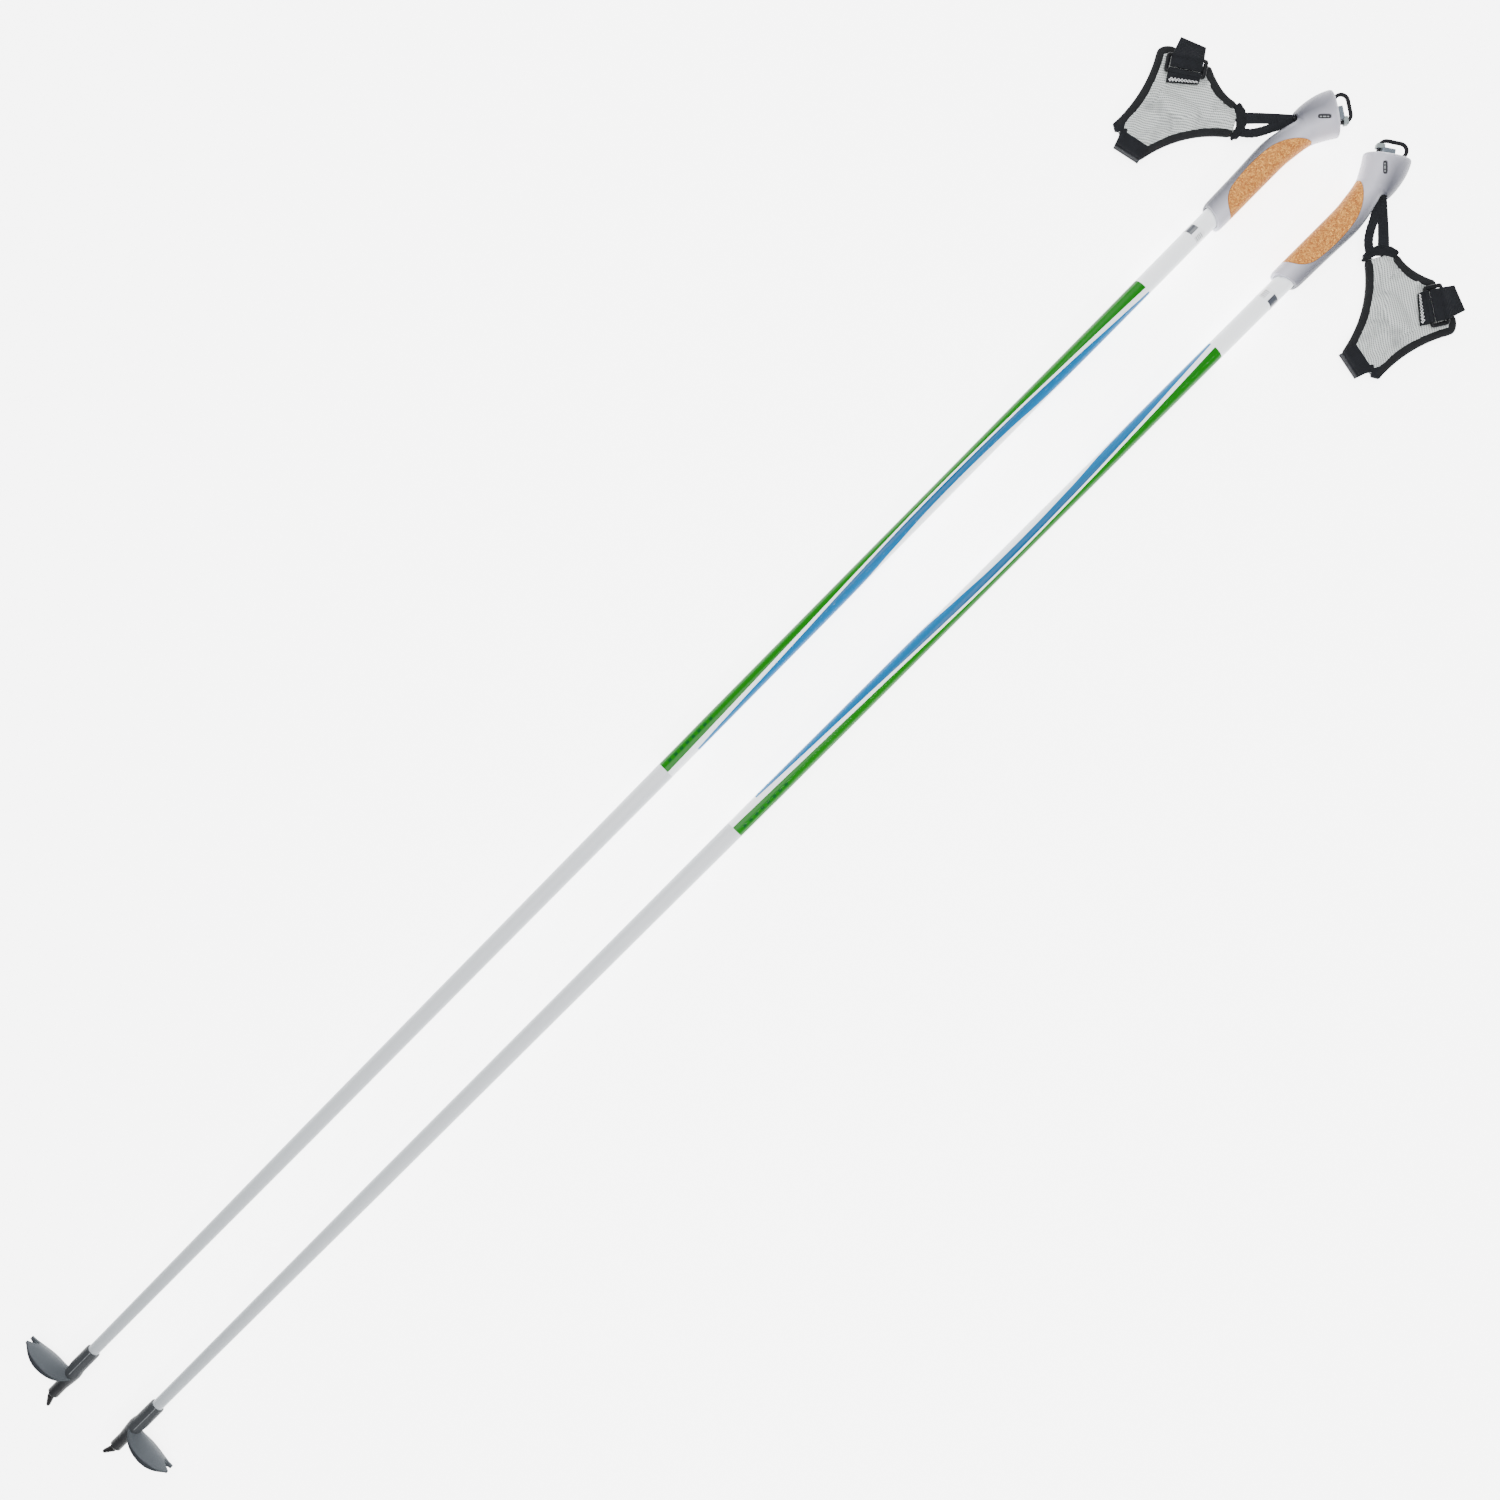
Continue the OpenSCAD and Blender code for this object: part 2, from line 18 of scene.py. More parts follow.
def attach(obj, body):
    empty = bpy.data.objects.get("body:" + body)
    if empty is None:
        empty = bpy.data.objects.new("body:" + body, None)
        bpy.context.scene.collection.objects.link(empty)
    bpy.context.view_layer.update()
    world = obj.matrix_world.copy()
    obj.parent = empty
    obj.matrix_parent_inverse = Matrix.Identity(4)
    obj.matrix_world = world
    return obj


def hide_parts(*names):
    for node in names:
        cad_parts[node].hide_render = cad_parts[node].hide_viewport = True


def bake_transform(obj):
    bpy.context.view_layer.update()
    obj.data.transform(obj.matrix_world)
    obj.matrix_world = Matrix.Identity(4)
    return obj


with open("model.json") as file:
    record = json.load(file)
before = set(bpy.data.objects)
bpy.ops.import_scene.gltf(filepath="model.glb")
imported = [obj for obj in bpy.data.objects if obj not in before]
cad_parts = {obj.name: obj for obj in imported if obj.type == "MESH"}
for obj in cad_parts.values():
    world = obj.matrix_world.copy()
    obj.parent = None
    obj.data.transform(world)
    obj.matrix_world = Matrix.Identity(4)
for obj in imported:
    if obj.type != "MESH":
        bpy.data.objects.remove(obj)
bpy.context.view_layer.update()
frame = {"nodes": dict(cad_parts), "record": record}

# %% [markdown]
# ## A frame for each pole
#
# A pole is easiest to think about in its own frame, in millimetres: u runs along the shaft
# towards the grip, v towards the skier's back and w sideways. Two mounts of the packed
# model give that frame, because their places along the shaft are known. The right pole is
# the left one mirrored and moved a little, so one description serves both.

# %% The pole's own frame
SIDES = ("left", "right")
CLIP_U = -300
FERRULE_U = -1353.5
FERRULE_V = -0.9
MM = 0.001

mounts = {m["name"]: Vector(m["pos_m"]) for m in frame["record"]["mounts"]}
clip = mounts["left_shaft_clip_zone"]
reach = clip - mounts["left_ferrule_end"]
splay = math.atan2(reach.y, reach.x) - math.atan2(-FERRULE_V, CLIP_U - FERRULE_U)
stagger = mounts["right_shaft_clip_zone"].x - clip.x

left_place = (
    Matrix.Translation(clip)
    @ Matrix.Rotation(splay, 4, "Z")
    @ Matrix.Scale(MM, 4)
    @ Matrix.Translation((-CLIP_U, 0, 0))
)
mirror = Matrix.Translation((stagger, 0, 0)) @ Matrix.Diagonal((1, -1, 1, 1))
PLACE = {"left": left_place, "right": mirror @ left_place}
print("splay in degrees:", round(math.degrees(splay), 3))


def turned_frame(u, v, angle):
    """A frame in the pole's mid-plane, turned by angle in degrees."""
    return Matrix.Translation((u, v, 0)) @ Matrix.Rotation(math.radians(angle), 4, "Z")


POLE = Matrix.Identity(4)
CHANNEL = turned_frame(152.9, 7, -33.66)
CLOSURE = turned_frame(124.2, 107.8, 32.5)
WRIST = turned_frame(35.5, 90.2, 11.5)

# %% [markdown]
# ## Camera, floor and light
#
# The pair lies flat and is seen from straight above, turned so that the poles cross the
# view from corner to corner. A pale floor, three large soft lamps and a thin strip along
# the poles stand for a studio.

# %% Camera
camera_data = bpy.data.cameras.new("camera")
camera_data.lens = 36
camera_data.sensor_width = 36
camera = bpy.data.objects.new("camera", camera_data)
camera.location = (0.03381, 0, 1.2905)
camera.rotation_euler = (0, 0, math.radians(-45.16))
bpy.context.scene.collection.objects.link(camera)
bpy.context.scene.camera = camera
print("camera height:", camera.location.z)


# %% Lamps
def lamp(name, place, aim, size, power):
    """A soft rectangular lamp that points at aim; size is (long, wide)."""
    data = bpy.data.lights.new(name, "AREA")
    data.shape = "RECTANGLE"
    data.size, data.size_y = size
    data.energy = power
    made = bpy.data.objects.new(name, data)
    made.location = place
    made.rotation_euler = (Vector(aim) - Vector(place)).to_track_quat("-Z", "Y").to_euler()
    bpy.context.scene.collection.objects.link(made)


lamp("overhead", (0.1, 0.1, 2.3), (0, 0, 0), (1.8, 1.8), 92)
lamp("grip_side", (1.5, 1.3, 1.4), (0.2, 0, 0), (1.2, 1.2), 22)
lamp("spike_side", (-1.5, -1.2, 1.4), (-0.2, 0, 0), (1.2, 1.2), 22)
lamp("edge_strip", (0, -1.15, 1.4), (0, 0, 0), (2.6, 0.02), 14)
world = bpy.data.worlds.new("studio")
world.use_nodes = True
world.node_tree.nodes["Background"].inputs["Color"].default_value = (1, 1, 1, 1)
world.node_tree.nodes["Background"].inputs["Strength"].default_value = 0.3
bpy.context.scene.world = world

# %% [markdown]
# ## Shapes from rings
#
# Most of these pieces are a closed outline carried along a line: a cord, a tape, a band, a
# grip whose section changes. Each step makes a circle, moves its corners to the outline and
# bridges it to the last one. Bridging keeps neighbouring rings in step, and two caps close
# the ends.


# %% Rings and lofts
def ring(bm, points):
    """A closed loop of edges through the points."""
    made = bmesh.ops.create_circle(bm, cap_ends=False, segments=len(points), radius=1)
    for vert, point in zip(made["verts"], points):
        vert.co = point
    return list({edge for vert in made["verts"] for edge in vert.link_edges})


def loft(rings, closed=False):
    """A skin through rings of points, with caps, or joined end to end."""
    bm = bmesh.new()
    loops = [ring(bm, points) for points in rings]
    following = loops[1:] + (loops[:1] if closed else [])
    for a, b in zip(loops, following):
        bmesh.ops.bridge_loops(bm, edges=a + b)
    if not closed:
        for loop in (loops[0], loops[-1]):
            bmesh.ops.contextual_create(bm, geom=loop)
    bmesh.ops.recalc_face_normals(bm, faces=bm.faces)
    return bm


def slab(outline, low, high):
    """A flat outline given a thickness along w."""
    bm = bmesh.new()
    edges = ring(bm, [(p[0], p[1], low) for p in outline])
    face = bmesh.ops.contextual_create(bm, geom=edges)["faces"]
    grown = bmesh.ops.extrude_face_region(bm, geom=face)["geom"]
    corners = [g for g in grown if isinstance(g, bmesh.types.BMVert)]
    bmesh.ops.translate(bm, verts=corners, vec=(0, 0, high - low))
    bmesh.ops.recalc_face_normals(bm, faces=bm.faces)
    return bm


def round_edges(bm, width, segments=2, sharp=35):
    """Rounds every edge whose faces meet at more than sharp degrees."""
    edges = [e for e in bm.edges if e.calc_face_angle(0) > math.radians(sharp)]
    bmesh.ops.bevel(
        bm, geom=edges, offset=width, segments=segments, profile=0.5,
        affect="EDGES", material=-1, clamp_overlap=True,
    )
    return bm


def moved(bm, matrix):
    bmesh.ops.transform(bm, matrix=matrix, verts=bm.verts)
    return bm


def joined(parts):
    """Several shapes as one."""
    whole = bmesh.new()
    for part in parts:
        mesh = bpy.data.meshes.new("part")
        part.to_mesh(mesh)
        whole.from_mesh(mesh)
        bpy.data.meshes.remove(mesh)
        part.free()
    return whole


# %% [markdown]
# ## Lines
#
# An edge of the harness is a shallow bow between two corners. A line moved sideways gives
# the other edge of a tape. The frames along a line say where each ring of a loft stands.


# %% Bows, offsets and frames along a line
def bow(a, b, c, steps=16):
    """A quadratic curve from a to c that leans towards b."""
    a, b, c = Vector(a), Vector(b), Vector(c)
    ts = [i / steps for i in range(steps + 1)]
    return [(1 - t) ** 2 * a + 2 * t * (1 - t) * b + t * t * c for t in ts]


def smooth_line(points, steps=6):
    """A Catmull-Rom curve through the points."""
    p = [Vector(q) for q in points]
    p = [2 * p[0] - p[1]] + p + [2 * p[-1] - p[-2]]
    line = []
    for a, b, c, d in zip(p, p[1:], p[2:], p[3:]):
        for i in range(steps):
            t = i / steps
            line.append(0.5 * (
                2 * b + (c - a) * t + (2 * a - 5 * b + 4 * c - d) * t * t
                + (3 * b - a - 3 * c + d) * t ** 3
            ))
    return line + [p[-2]]


def ways(line, closed=False):
    """The direction of a line at each of its points."""
    last = len(line) - 1
    if closed:
        pairs = [(line[i - 1], line[(i + 1) % len(line)]) for i in range(len(line))]
    else:
        pairs = [(line[max(i - 1, 0)], line[min(i + 1, last)]) for i in range(len(line))]
    return [(b - a).normalized() for a, b in pairs]


def beside(line, distance):
    """A flat line moved to its left."""
    return [p + distance * Vector((-t.y, t.x)) for p, t in zip(line, ways(line))]


def swept(line, section, height=0, closed=False):
    """Carries section(i), points of (across, up), along a flat line at a height."""
    rings = []
    for i, (p, t) in enumerate(zip(line, ways(line, closed))):
        left = Vector((-t.y, t.x, 0))
        middle = Vector((p.x, p.y, height))
        rings.append([middle + left * a + Vector((0, 0, b)) for a, b in section(i)])
    return loft(rings, closed)


def oval(width, thickness, corners=12, squareness=2.0):
    """Points round a superellipse."""
    points = []
    for k in range(corners):
        c, s = math.cos(math.tau * k / corners), math.sin(math.tau * k / corners)
        points.append((
            width / 2 * math.copysign(abs(c) ** (2 / squareness), c),
            thickness / 2 * math.copysign(abs(s) ** (2 / squareness), s),
        ))
    return points


# %% [markdown]
# ## Cutting one shape with another
#
# A channel, a bore or the cork's bed is a clean cut, which a Boolean modifier makes best.
# The result is read back at once, so that the finished piece holds plain faces and no
# cutter is left in the scene.


# %% Boolean cuts
def as_object(bm, name):
    mesh = bpy.data.meshes.new(name)
    bm.to_mesh(mesh)
    bm.free()
    made = bpy.data.objects.new(name, mesh)
    bpy.context.scene.collection.objects.link(made)
    return made


def evaluated(obj):
    """A bmesh of an object with its modifiers; the object is removed."""
    graph = bpy.context.evaluated_depsgraph_get()
    mesh = bpy.data.meshes.new_from_object(obj.evaluated_get(graph))
    bm = bmesh.new()
    bm.from_mesh(mesh)
    bpy.data.meshes.remove(mesh)
    bpy.data.objects.remove(obj)
    return bm


def cut(form, cutter, how="DIFFERENCE"):
    """Cuts one closed shape with another."""
    base, tool = as_object(form, "base"), as_object(cutter, "tool")
    step = base.modifiers.new("cut", "BOOLEAN")
    step.operation = how
    step.solver = "EXACT"
    step.object = tool
    result = evaluated(base)
    bpy.data.objects.remove(tool)
    bmesh.ops.remove_doubles(result, verts=result.verts, dist=0.002)
    return result


def finer(bm, levels=1):
    """The shape after Catmull-Clark subdivision."""
    base = as_object(bm, "coarse")
    step = base.modifiers.new("finer", "SUBSURF")
    step.levels = step.render_levels = levels
    return evaluated(base)


# %% [markdown]
# ## From shape to piece
#
# A finished shape is copied to both poles, gets its sharp edges marked for shading, and
# becomes two objects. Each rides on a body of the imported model, and may stand for one of its
# nodes. A piece of the hard model whose shape is already right only gets a new material.


# %% Finished pieces
SHARP = math.radians(38)
made_pieces = []


def for_side(look, side):
    """A look is one material for both poles, or one for each."""
    return look[side] if isinstance(look, dict) else look


def looks(finish, *details):
    """One material for each pole."""
    return {side: finish(side, *details) for side in SIDES}


def pair(name, shape, look, body, node=None, where=POLE):
    """Puts a copy of a shape on both poles, as pieces of the model."""
    made = {}
    for side in SIDES:
        copy = shape.copy()
        bmesh.ops.transform(copy, matrix=PLACE[side] @ where, verts=copy.verts)
        if side == "right":
            bmesh.ops.reverse_faces(copy, faces=copy.faces)
        for face in copy.faces:
            face.smooth = True
        for edge in copy.edges:
            edge.smooth = edge.calc_face_angle(0) < SHARP
        made[side] = as_object(copy, f"{side}_{name}")
        made[side].data.materials.append(for_side(look, side))
        if body:
            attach(made[side], f"{side}_{body}")
        if node:
            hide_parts(f"{side}_{node}")
        made_pieces.append(made[side].name)
    return made


def repaint(node, look):
    """Gives a piece of the hard model a new material, on both poles."""
    for side in SIDES:
        frame["nodes"][f"{side}_{node}"].data.materials[0] = for_side(look, side)


# %% [markdown]
# ## Writing a finish as sums
#
# A procedural material is arithmetic on places. A wire wraps one socket, and adding,
# multiplying or subtracting wires adds the Math nodes, so that a stripe's edge reads like
# the sum that it is. Every other node comes from one method.


# %% Wires
class Wire:
    """One socket of a material, which can be used in sums."""

    def __init__(self, tree, socket):
        self.tree = tree
        self.socket = socket

    def node(self, kind, settings=None, inputs=None, output=0):
        """Adds a node: its settings first, then values or wires for its sockets."""
        made = self.tree.nodes.new(kind)
        for name, value in (settings or {}).items():
            if name == "stops":
                for i, (place, colour) in enumerate(value):
                    stops = made.color_ramp.elements
                    stop = stops[i] if i < len(stops) else stops.new(place)
                    stop.position, stop.color = place, colour
            elif name == "points":
                curve = made.mapping.curves[0]
                for i, (x, y) in enumerate(value):
                    spot = curve.points[i] if i < 2 else curve.points.new(x, y)
                    spot.location = (x, y)
                made.mapping.update()
            else:
                setattr(made, name, value)
        for name, value in (inputs or {}).items():
            if isinstance(value, Wire):
                self.tree.links.new(value.socket, made.inputs[name])
            else:
                made.inputs[name].default_value = value
        return Wire(self.tree, made.outputs[output])

    def maths(self, operation, *values, clamp=False):
        settings = {"operation": operation, "use_clamp": clamp}
        return self.node("ShaderNodeMath", settings, dict(enumerate(values)))

    def __add__(self, other):
        return self.maths("ADD", self, other)

    __radd__ = __add__

    def __sub__(self, other):
        return self.maths("SUBTRACT", self, other)

    def __rsub__(self, other):
        return self.maths("SUBTRACT", other, self)

    def __mul__(self, other):
        return self.maths("MULTIPLY", self, other)

    __rmul__ = __mul__

    def __truediv__(self, other):
        return self.maths("DIVIDE", self, other)

    def over(self, edge, blur):
        """0 where the value is under edge, 1 where it is over it."""
        return self.maths("ADD", (self - edge) / blur, 0.5, clamp=True)

    def wave(self, pitch):
        """A sine of the value, from 0 to 1, that repeats every pitch."""
        return self.maths("SINE", self * (math.tau / pitch)) * 0.5 + 0.5

    def axes(self):
        """The three parts of a vector."""
        split = self.tree.nodes.new("ShaderNodeSeparateXYZ")
        self.tree.links.new(self.socket, split.inputs[0])
        return [Wire(self.tree, out) for out in split.outputs]

    def noise(self, scale, detail=3.0, output=0):
        inputs = {"Vector": self, "Scale": scale, "Detail": detail}
        return self.node("ShaderNodeTexNoise", None, inputs, output)


def colour(red, green, blue):
    """A colour from 0 to 255 on screen, as the linear light that shaders use."""
    parts = [c / 255 for c in (red, green, blue)]
    return [p / 12.92 if p < 0.04 else ((p + 0.055) / 1.055) ** 2.4 for p in parts] + [1]


def mixed(mask, low, high):
    """One colour where the mask is 0 and the other where it is 1."""
    return mask.node("ShaderNodeMix", {"data_type": "RGBA"}, {0: mask, 6: low, 7: high}, 2)


# %% [markdown]
# A finish starts from its shader's even values, such as coat or sheen. Its patterns are
# measured in millimetres in a frame of the pole, which a Mapping node gives from Object
# coordinates. So the same sums serve both poles.


# %% Starting a finish
class Finish:
    """A material, its shader, and its places in millimetres in a frame of one pole."""

    def __init__(self, name, side="left", where=POLE, **even):
        self.material = bpy.data.materials.new(f"{side}_{name}")
        self.material.use_nodes = True
        self.tree = self.material.node_tree
        self.shader = self.tree.nodes["Principled BSDF"]
        for socket, value in even.items():
            self.shader.inputs[socket.replace("_", " ")].default_value = value
        places = self.tree.nodes.new("ShaderNodeTexCoord")
        back = (PLACE[side] @ where).inverted()
        flip = -1 if side == "right" else 1
        turn = back.to_3x3() @ Matrix.Diagonal((MM, flip * MM, MM))
        start = Wire(self.tree, places.outputs["Object"])
        inputs = {
            "Vector": start,
            "Location": back.translation,
            "Rotation": turn.to_euler(),
            "Scale": (1 / MM, flip / MM, 1 / MM),
        }
        self.place = start.node("ShaderNodeMapping", None, inputs)
        self.uv = Wire(self.tree, places.outputs["UV"])

    def set(self, socket, wire):
        self.tree.links.new(wire.socket, self.shader.inputs[socket])
        return self

    def bump(self, height, depth, strength=1.0):
        """Surface relief; depth is in millimetres."""
        inputs = {"Height": height, "Distance": depth * MM, "Strength": strength}
        return self.set("Normal", height.node("ShaderNodeBump", None, inputs))


# %% [markdown]
# ## The pull cord
#
# A loop of black braid runs out of the head beside the wedge, round, and back through the
# lug to the wedge's heel. The route is the hard model's own, in the channel's frame. The
# braid's pattern needs to follow the cord, so each face gets UVs: distance along the cord
# in the first, and turns round it in the second.

# %% The cord's route and its braid
CORD_D = 3.4
CORD_SIDES = 16
cord_route = [
    (35, 2.7), (34.9, 5), (34.9, 7.6), (35.7, 10.6), (38, 12.9), (41, 13.7), (44, 12.9),
    (46.3, 10.6), (47.1, 7.6), (47.1, 4), (47.1, 0), (47.1, -4), (46.3, -7), (44, -9.3),
    (41, -10.1), (38, -10.1), (34.4, -10.1),
]


def braid_finish():
    f = Finish("cord_braid", Roughness=0.85, Specular_IOR_Level=0.15)
    along, turn, _ = f.uv.axes()
    lay, starts = 2.6, 4
    right = (along / lay + turn * starts).wave(1)
    left = (along / lay - turn * starts).wave(1)
    strands = right.maths("MAXIMUM", right, left)
    shade = strands * 0.7 + f.place.noise(0.9) * 0.3
    f.set("Base Color", mixed(shade, colour(8, 8, 9), colour(34, 35, 38)))
    return f.bump(strands, 0.35).material


def wrap_uvs(bm, line, rings_of):
    """UVs of (millimetres along, turns round) on a tube."""
    layer = bm.loops.layers.uv.new("UVMap")
    travelled = [0.0]
    for a, b in zip(line, line[1:]):
        travelled.append(travelled[-1] + (b - a).length)
    for face in bm.faces:
        spots = [
            (travelled[v.index // rings_of], v.index % rings_of / rings_of) for v in face.verts
        ]
        at_seam = any(turn > 0.7 for _, turn in spots)
        for loop, (along, turn) in zip(face.loops, spots):
            wraps = at_seam and turn == 0
            loop[layer].uv = (along, turn + (1 if wraps else 0))


cord_line = [Vector((p[0], p[1])) for p in smooth_line(cord_route, 4)]
cord_round = oval(CORD_D, CORD_D, CORD_SIDES)
cord_shape = swept(cord_line, lambda i: cord_round)
cord_shape.verts.index_update()
wrap_uvs(cord_shape, cord_line, CORD_SIDES)
braid = braid_finish()
cords = pair("cord_loop", cord_shape, braid, "wedge", "pull_cord", CHANNEL)

# %% [markdown]
# ## The painted shaft
#
# The tube is right as the hard model has it, so it only needs paint: silver at the tip,
# pearl white above, a green stripe along the back and a blue lens that starts and ends in a
# point. The stripes are drawn on a tapered tube, so their edges are curves of the place
# along the shaft. A float curve holds each edge as a few points.

# %% Stripe edges
STRIPE_LOW = -620
STRIPE_LONG = 600
WHITE_FROM = -616
GREEN_TO = -40.7
BLUE_FROM, BLUE_TO = -584, -40
HALF = 8.25


def edge_points(spots):
    """Given (u, v) places as the points of a float curve."""
    return [((u - STRIPE_LOW) / STRIPE_LONG, (v + HALF) / (2 * HALF)) for u, v in spots]


GREEN_EDGE = edge_points([
    (-620, -2.7), (-20, -3.2), (-520, -0.6), (-440, 1.4), (-360, 3.4), (-300, 4.2),
    (-220, 3.4), (-140, 1.2),
])
BLUE_TOP = edge_points([
    (-620, -8.1), (-20, -7.4), (-560, -5.4), (-460, -1.9), (-380, 1.0), (-300, 2.6),
    (-220, 1.8), (-140, -1.0), (-80, -4.3),
])
BLUE_LOW = edge_points([
    (-620, -8.25), (-20, -8.2), (-400, -8.1), (-345, -5.4), (-280, -3.2), (-215, -4.4),
    (-150, -7.6),
])
print("stripe edges:", len(GREEN_EDGE), len(BLUE_TOP), len(BLUE_LOW))


# %% Shaft paint
def shaft_finish(side):
    f = Finish(
        "shaft_paint", side, Roughness=0.45, Specular_IOR_Level=0.08, Coat_Weight=0.16,
        Coat_Roughness=0.06,
    )
    u, v, _ = f.place.axes()
    t = (u - STRIPE_LOW) / STRIPE_LONG

    def edge(points):
        curve = t.node("ShaderNodeFloatCurve", {"points": points}, {"Value": t})
        return curve * (2 * HALF) - HALF

    flake = f.place.noise(3.0, 2) * 0.1 - 0.05
    climb = flake.maths("ADD", (u + 1310) / 700, flake, clamp=True)
    silver = mixed(climb, colour(148, 153, 157), colour(198, 201, 205))
    white = mixed(u.over(WHITE_FROM, 1), silver, colour(240, 243, 246))
    stripes = u.over(WHITE_FROM, 0.4) * (1 - u.over(GREEN_TO, 0.4))
    green = v.over(edge(GREEN_EDGE), 0.2) * stripes
    blue = (1 - v.over(edge(BLUE_TOP), 0.2)) * v.over(edge(BLUE_LOW), 0.2)
    blue = blue * u.over(BLUE_FROM, 0.4) * (1 - u.over(BLUE_TO, 0.4))
    sky = mixed(v.over(-2, 6), colour(0, 96, 146), colour(0, 74, 118))
    painted = mixed(blue, mixed(green, white, colour(0, 94, 0)), sky)
    ticks = u.wave(7).over(0.55, 0.1) * u.over(-612, 0.4) * (1 - u.over(-556, 0.4))
    ticks = ticks * v.over(2.2, 0.2) * (1 - v.over(4.6, 0.2))
    f.set("Base Color", mixed(ticks, painted, colour(6, 70, 20)))
    return f.bump(f.place.noise(0.35, 2), 0.05, 0.3).material


repaint("shaft_tube", looks(shaft_finish))
print("shaft materials:", [m.name for m in bpy.data.materials if "shaft" in m.name])


# %% [markdown]
# A printed film below the grip says how long the pole is. Its print is left as plain marks:
# a grey block towards the back and a row of ticks.


# %% Size label and the hidden parts
def label_finish(side):
    f = Finish("label_film", side, Roughness=0.22, Coat_Weight=0.5)
    u, v, _ = f.place.axes()
    block = v.over(1.4, 0.2) * u.over(16, 0.2) * (1 - u.over(26.4, 0.2))
    marks = u.wave(1.7).over(0.6, 0.2) * v.over(-6.6, 0.2) * (1 - v.over(-2.2, 0.2))
    marks = marks * u.over(16.8, 0.2) * (1 - u.over(25.6, 0.2))
    paper = mixed(marks, colour(236, 238, 241), colour(110, 114, 120))
    f.set("Base Color", mixed(block, paper, colour(62, 66, 74)))
    return f.bump(f.place.noise(0.8), 0.03).material


def plain_finish(name, dark, light, grain, depth, **even):
    """A moulded or metal finish for both poles: two near tones and a fine grain."""
    f = Finish(name, Specular_IOR_Level=0.12, **even)
    spread = f.place.noise(0.12, 2) * 0.6 + f.place.noise(grain, 4) * 0.4
    f.set("Base Color", mixed(spread, colour(*dark), colour(*light)))
    f.set("Roughness", spread * 0.15 + (f.shader.inputs["Roughness"].default_value - 0.07))
    return f.bump(f.place.noise(grain * 1.5, 3), depth).material


plug_black = plain_finish("plug_plastic", (40, 40, 43), (56, 56, 60), 2.0, 0.05, Roughness=0.55)
shank_metal = plain_finish(
    "shank_steel", (150, 150, 154), (178, 178, 182), 3.0, 0.03, Roughness=0.35, Metallic=1.0
)
repaint("size_label", looks(label_finish))
repaint("shaft_top_plug", plug_black)
repaint("tip_shank", shank_metal)
print("label and hidden parts are finished")

# %% [markdown]
# ## The grip
#
# The grip is one soft moulding with a slanted collar, a swelling for the palm and a hooded
# head. It is lofted through the same stations as the hard model, each a squarish oval that
# leans as the grip leans, and then subdivided. The strap's channel and slot, the windows and
# the shaft's bore are cut afterwards, so that their edges stay crisp.

# %% Stations of the grip
GRIP_SIDES = 28
SQUARENESS = 2.3
# along and across at the back, along and across at the front, half width
grip_stations = [
    (45.6, 10.9, 39.2, -11.8, 11.2), (46.2, 12.0, 39.5, -12.9, 12.2),
    (60, 12.3, 55, -12.95, 12.4), (75, 12.5, 71, -13, 12.6), (88, 12.9, 85, -13, 13),
    (100, 13.4, 98, -13, 13.3), (110, 13.9, 109, -13.05, 13.4), (118, 13.8, 117, -13.1, 13.4),
    (126, 12.9, 123.5, -13.5, 13.4), (133, 11.5, 129.5, -14.3, 13.4),
    (140, 9.7, 135, -15, 13.5), (146, 7.9, 140.5, -15.8, 13.6), (150, 7.0, 145, -16.7, 13.8),
    (152, 7.6, 146.5, -17.1, 13.9), (153.2, 10.4, 147.6, -17.4, 14),
    (154.6, 12.4, 149, -18, 14.1), (157, 13.2, 151.4, -19, 14.3),
    (162, 13.1, 154.5, -20.7, 14.6), (168, 12.5, 158, -22.7, 15), (175, 11.2, 161, -24.4, 15.5),
    (181, 9.3, 163.5, -26, 15.5), (186.4, 7, 165.8, -27.6, 14.6), (189.4, 5.5, 167, -28.6, 13.2),
    (190.9, 4.4, 167.7, -29.3, 11.2), (191.5, 3, 168.3, -29, 8.6), (191.2, 1, 169.3, -27.8, 6),
    (190.4, -1.2, 170.4, -26.2, 3),
]


def grip_ring(station):
    back, front = Vector(station[0:2]), Vector(station[2:4])
    middle, half = (back + front) / 2, (back - front) / 2
    points = []
    for c, s in oval(2, 2, GRIP_SIDES, SQUARENESS):
        spot = middle + half * c
        points.append((spot.x, spot.y, station[4] * s))
    return points


def grip_form():
    return finer(loft([grip_ring(s) for s in grip_stations]), 1)


print("grip faces:", len(grip_form().faces))


# %% Cutters for the head
def rod(place, axis, radius, length, segments=48):
    """A round bar that starts at place and runs along axis."""
    bm = bmesh.new()
    turn = Vector(axis).to_track_quat("Z", "Y").to_matrix().to_4x4()
    middle = Vector(place) + Vector(axis).normalized() * length / 2
    bmesh.ops.create_cone(
        bm, cap_ends=True, segments=segments, radius1=radius, radius2=radius, depth=length,
        matrix=Matrix.Translation(middle) @ turn,
    )
    return bm


FACE_N = 31.6
CHANNEL_HALF = 6.4
channel_outline = [
    (-4, -3.2), (8, -4.8), (FACE_N, -8.4), (FACE_N + 12, -10),
    (FACE_N + 12, 6.4), (FACE_N, 5.6), (8, 3.5), (-4, 3.3),
]
slot_outline = [
    (156.6, 4.2), (148, 5.2), (140, 8.3), (133, 10.4), (126, 14), (126, 24), (158.4, 24),
]
SLOT_HALF = 1.8
COLLAR_R, BORE_R = 9.1, 8.35
THROUGH = 30
WINDOW = turned_frame(164.6, -8.5, -45.4)

# %% [markdown]
# The cork is a shell on the front of the handle. Its edge is three bows in the side view,
# and the same prism cuts the bed out of the grip and the cork out of the form. The prism
# that cuts the bed is a hair larger, which leaves the fine dark seam.

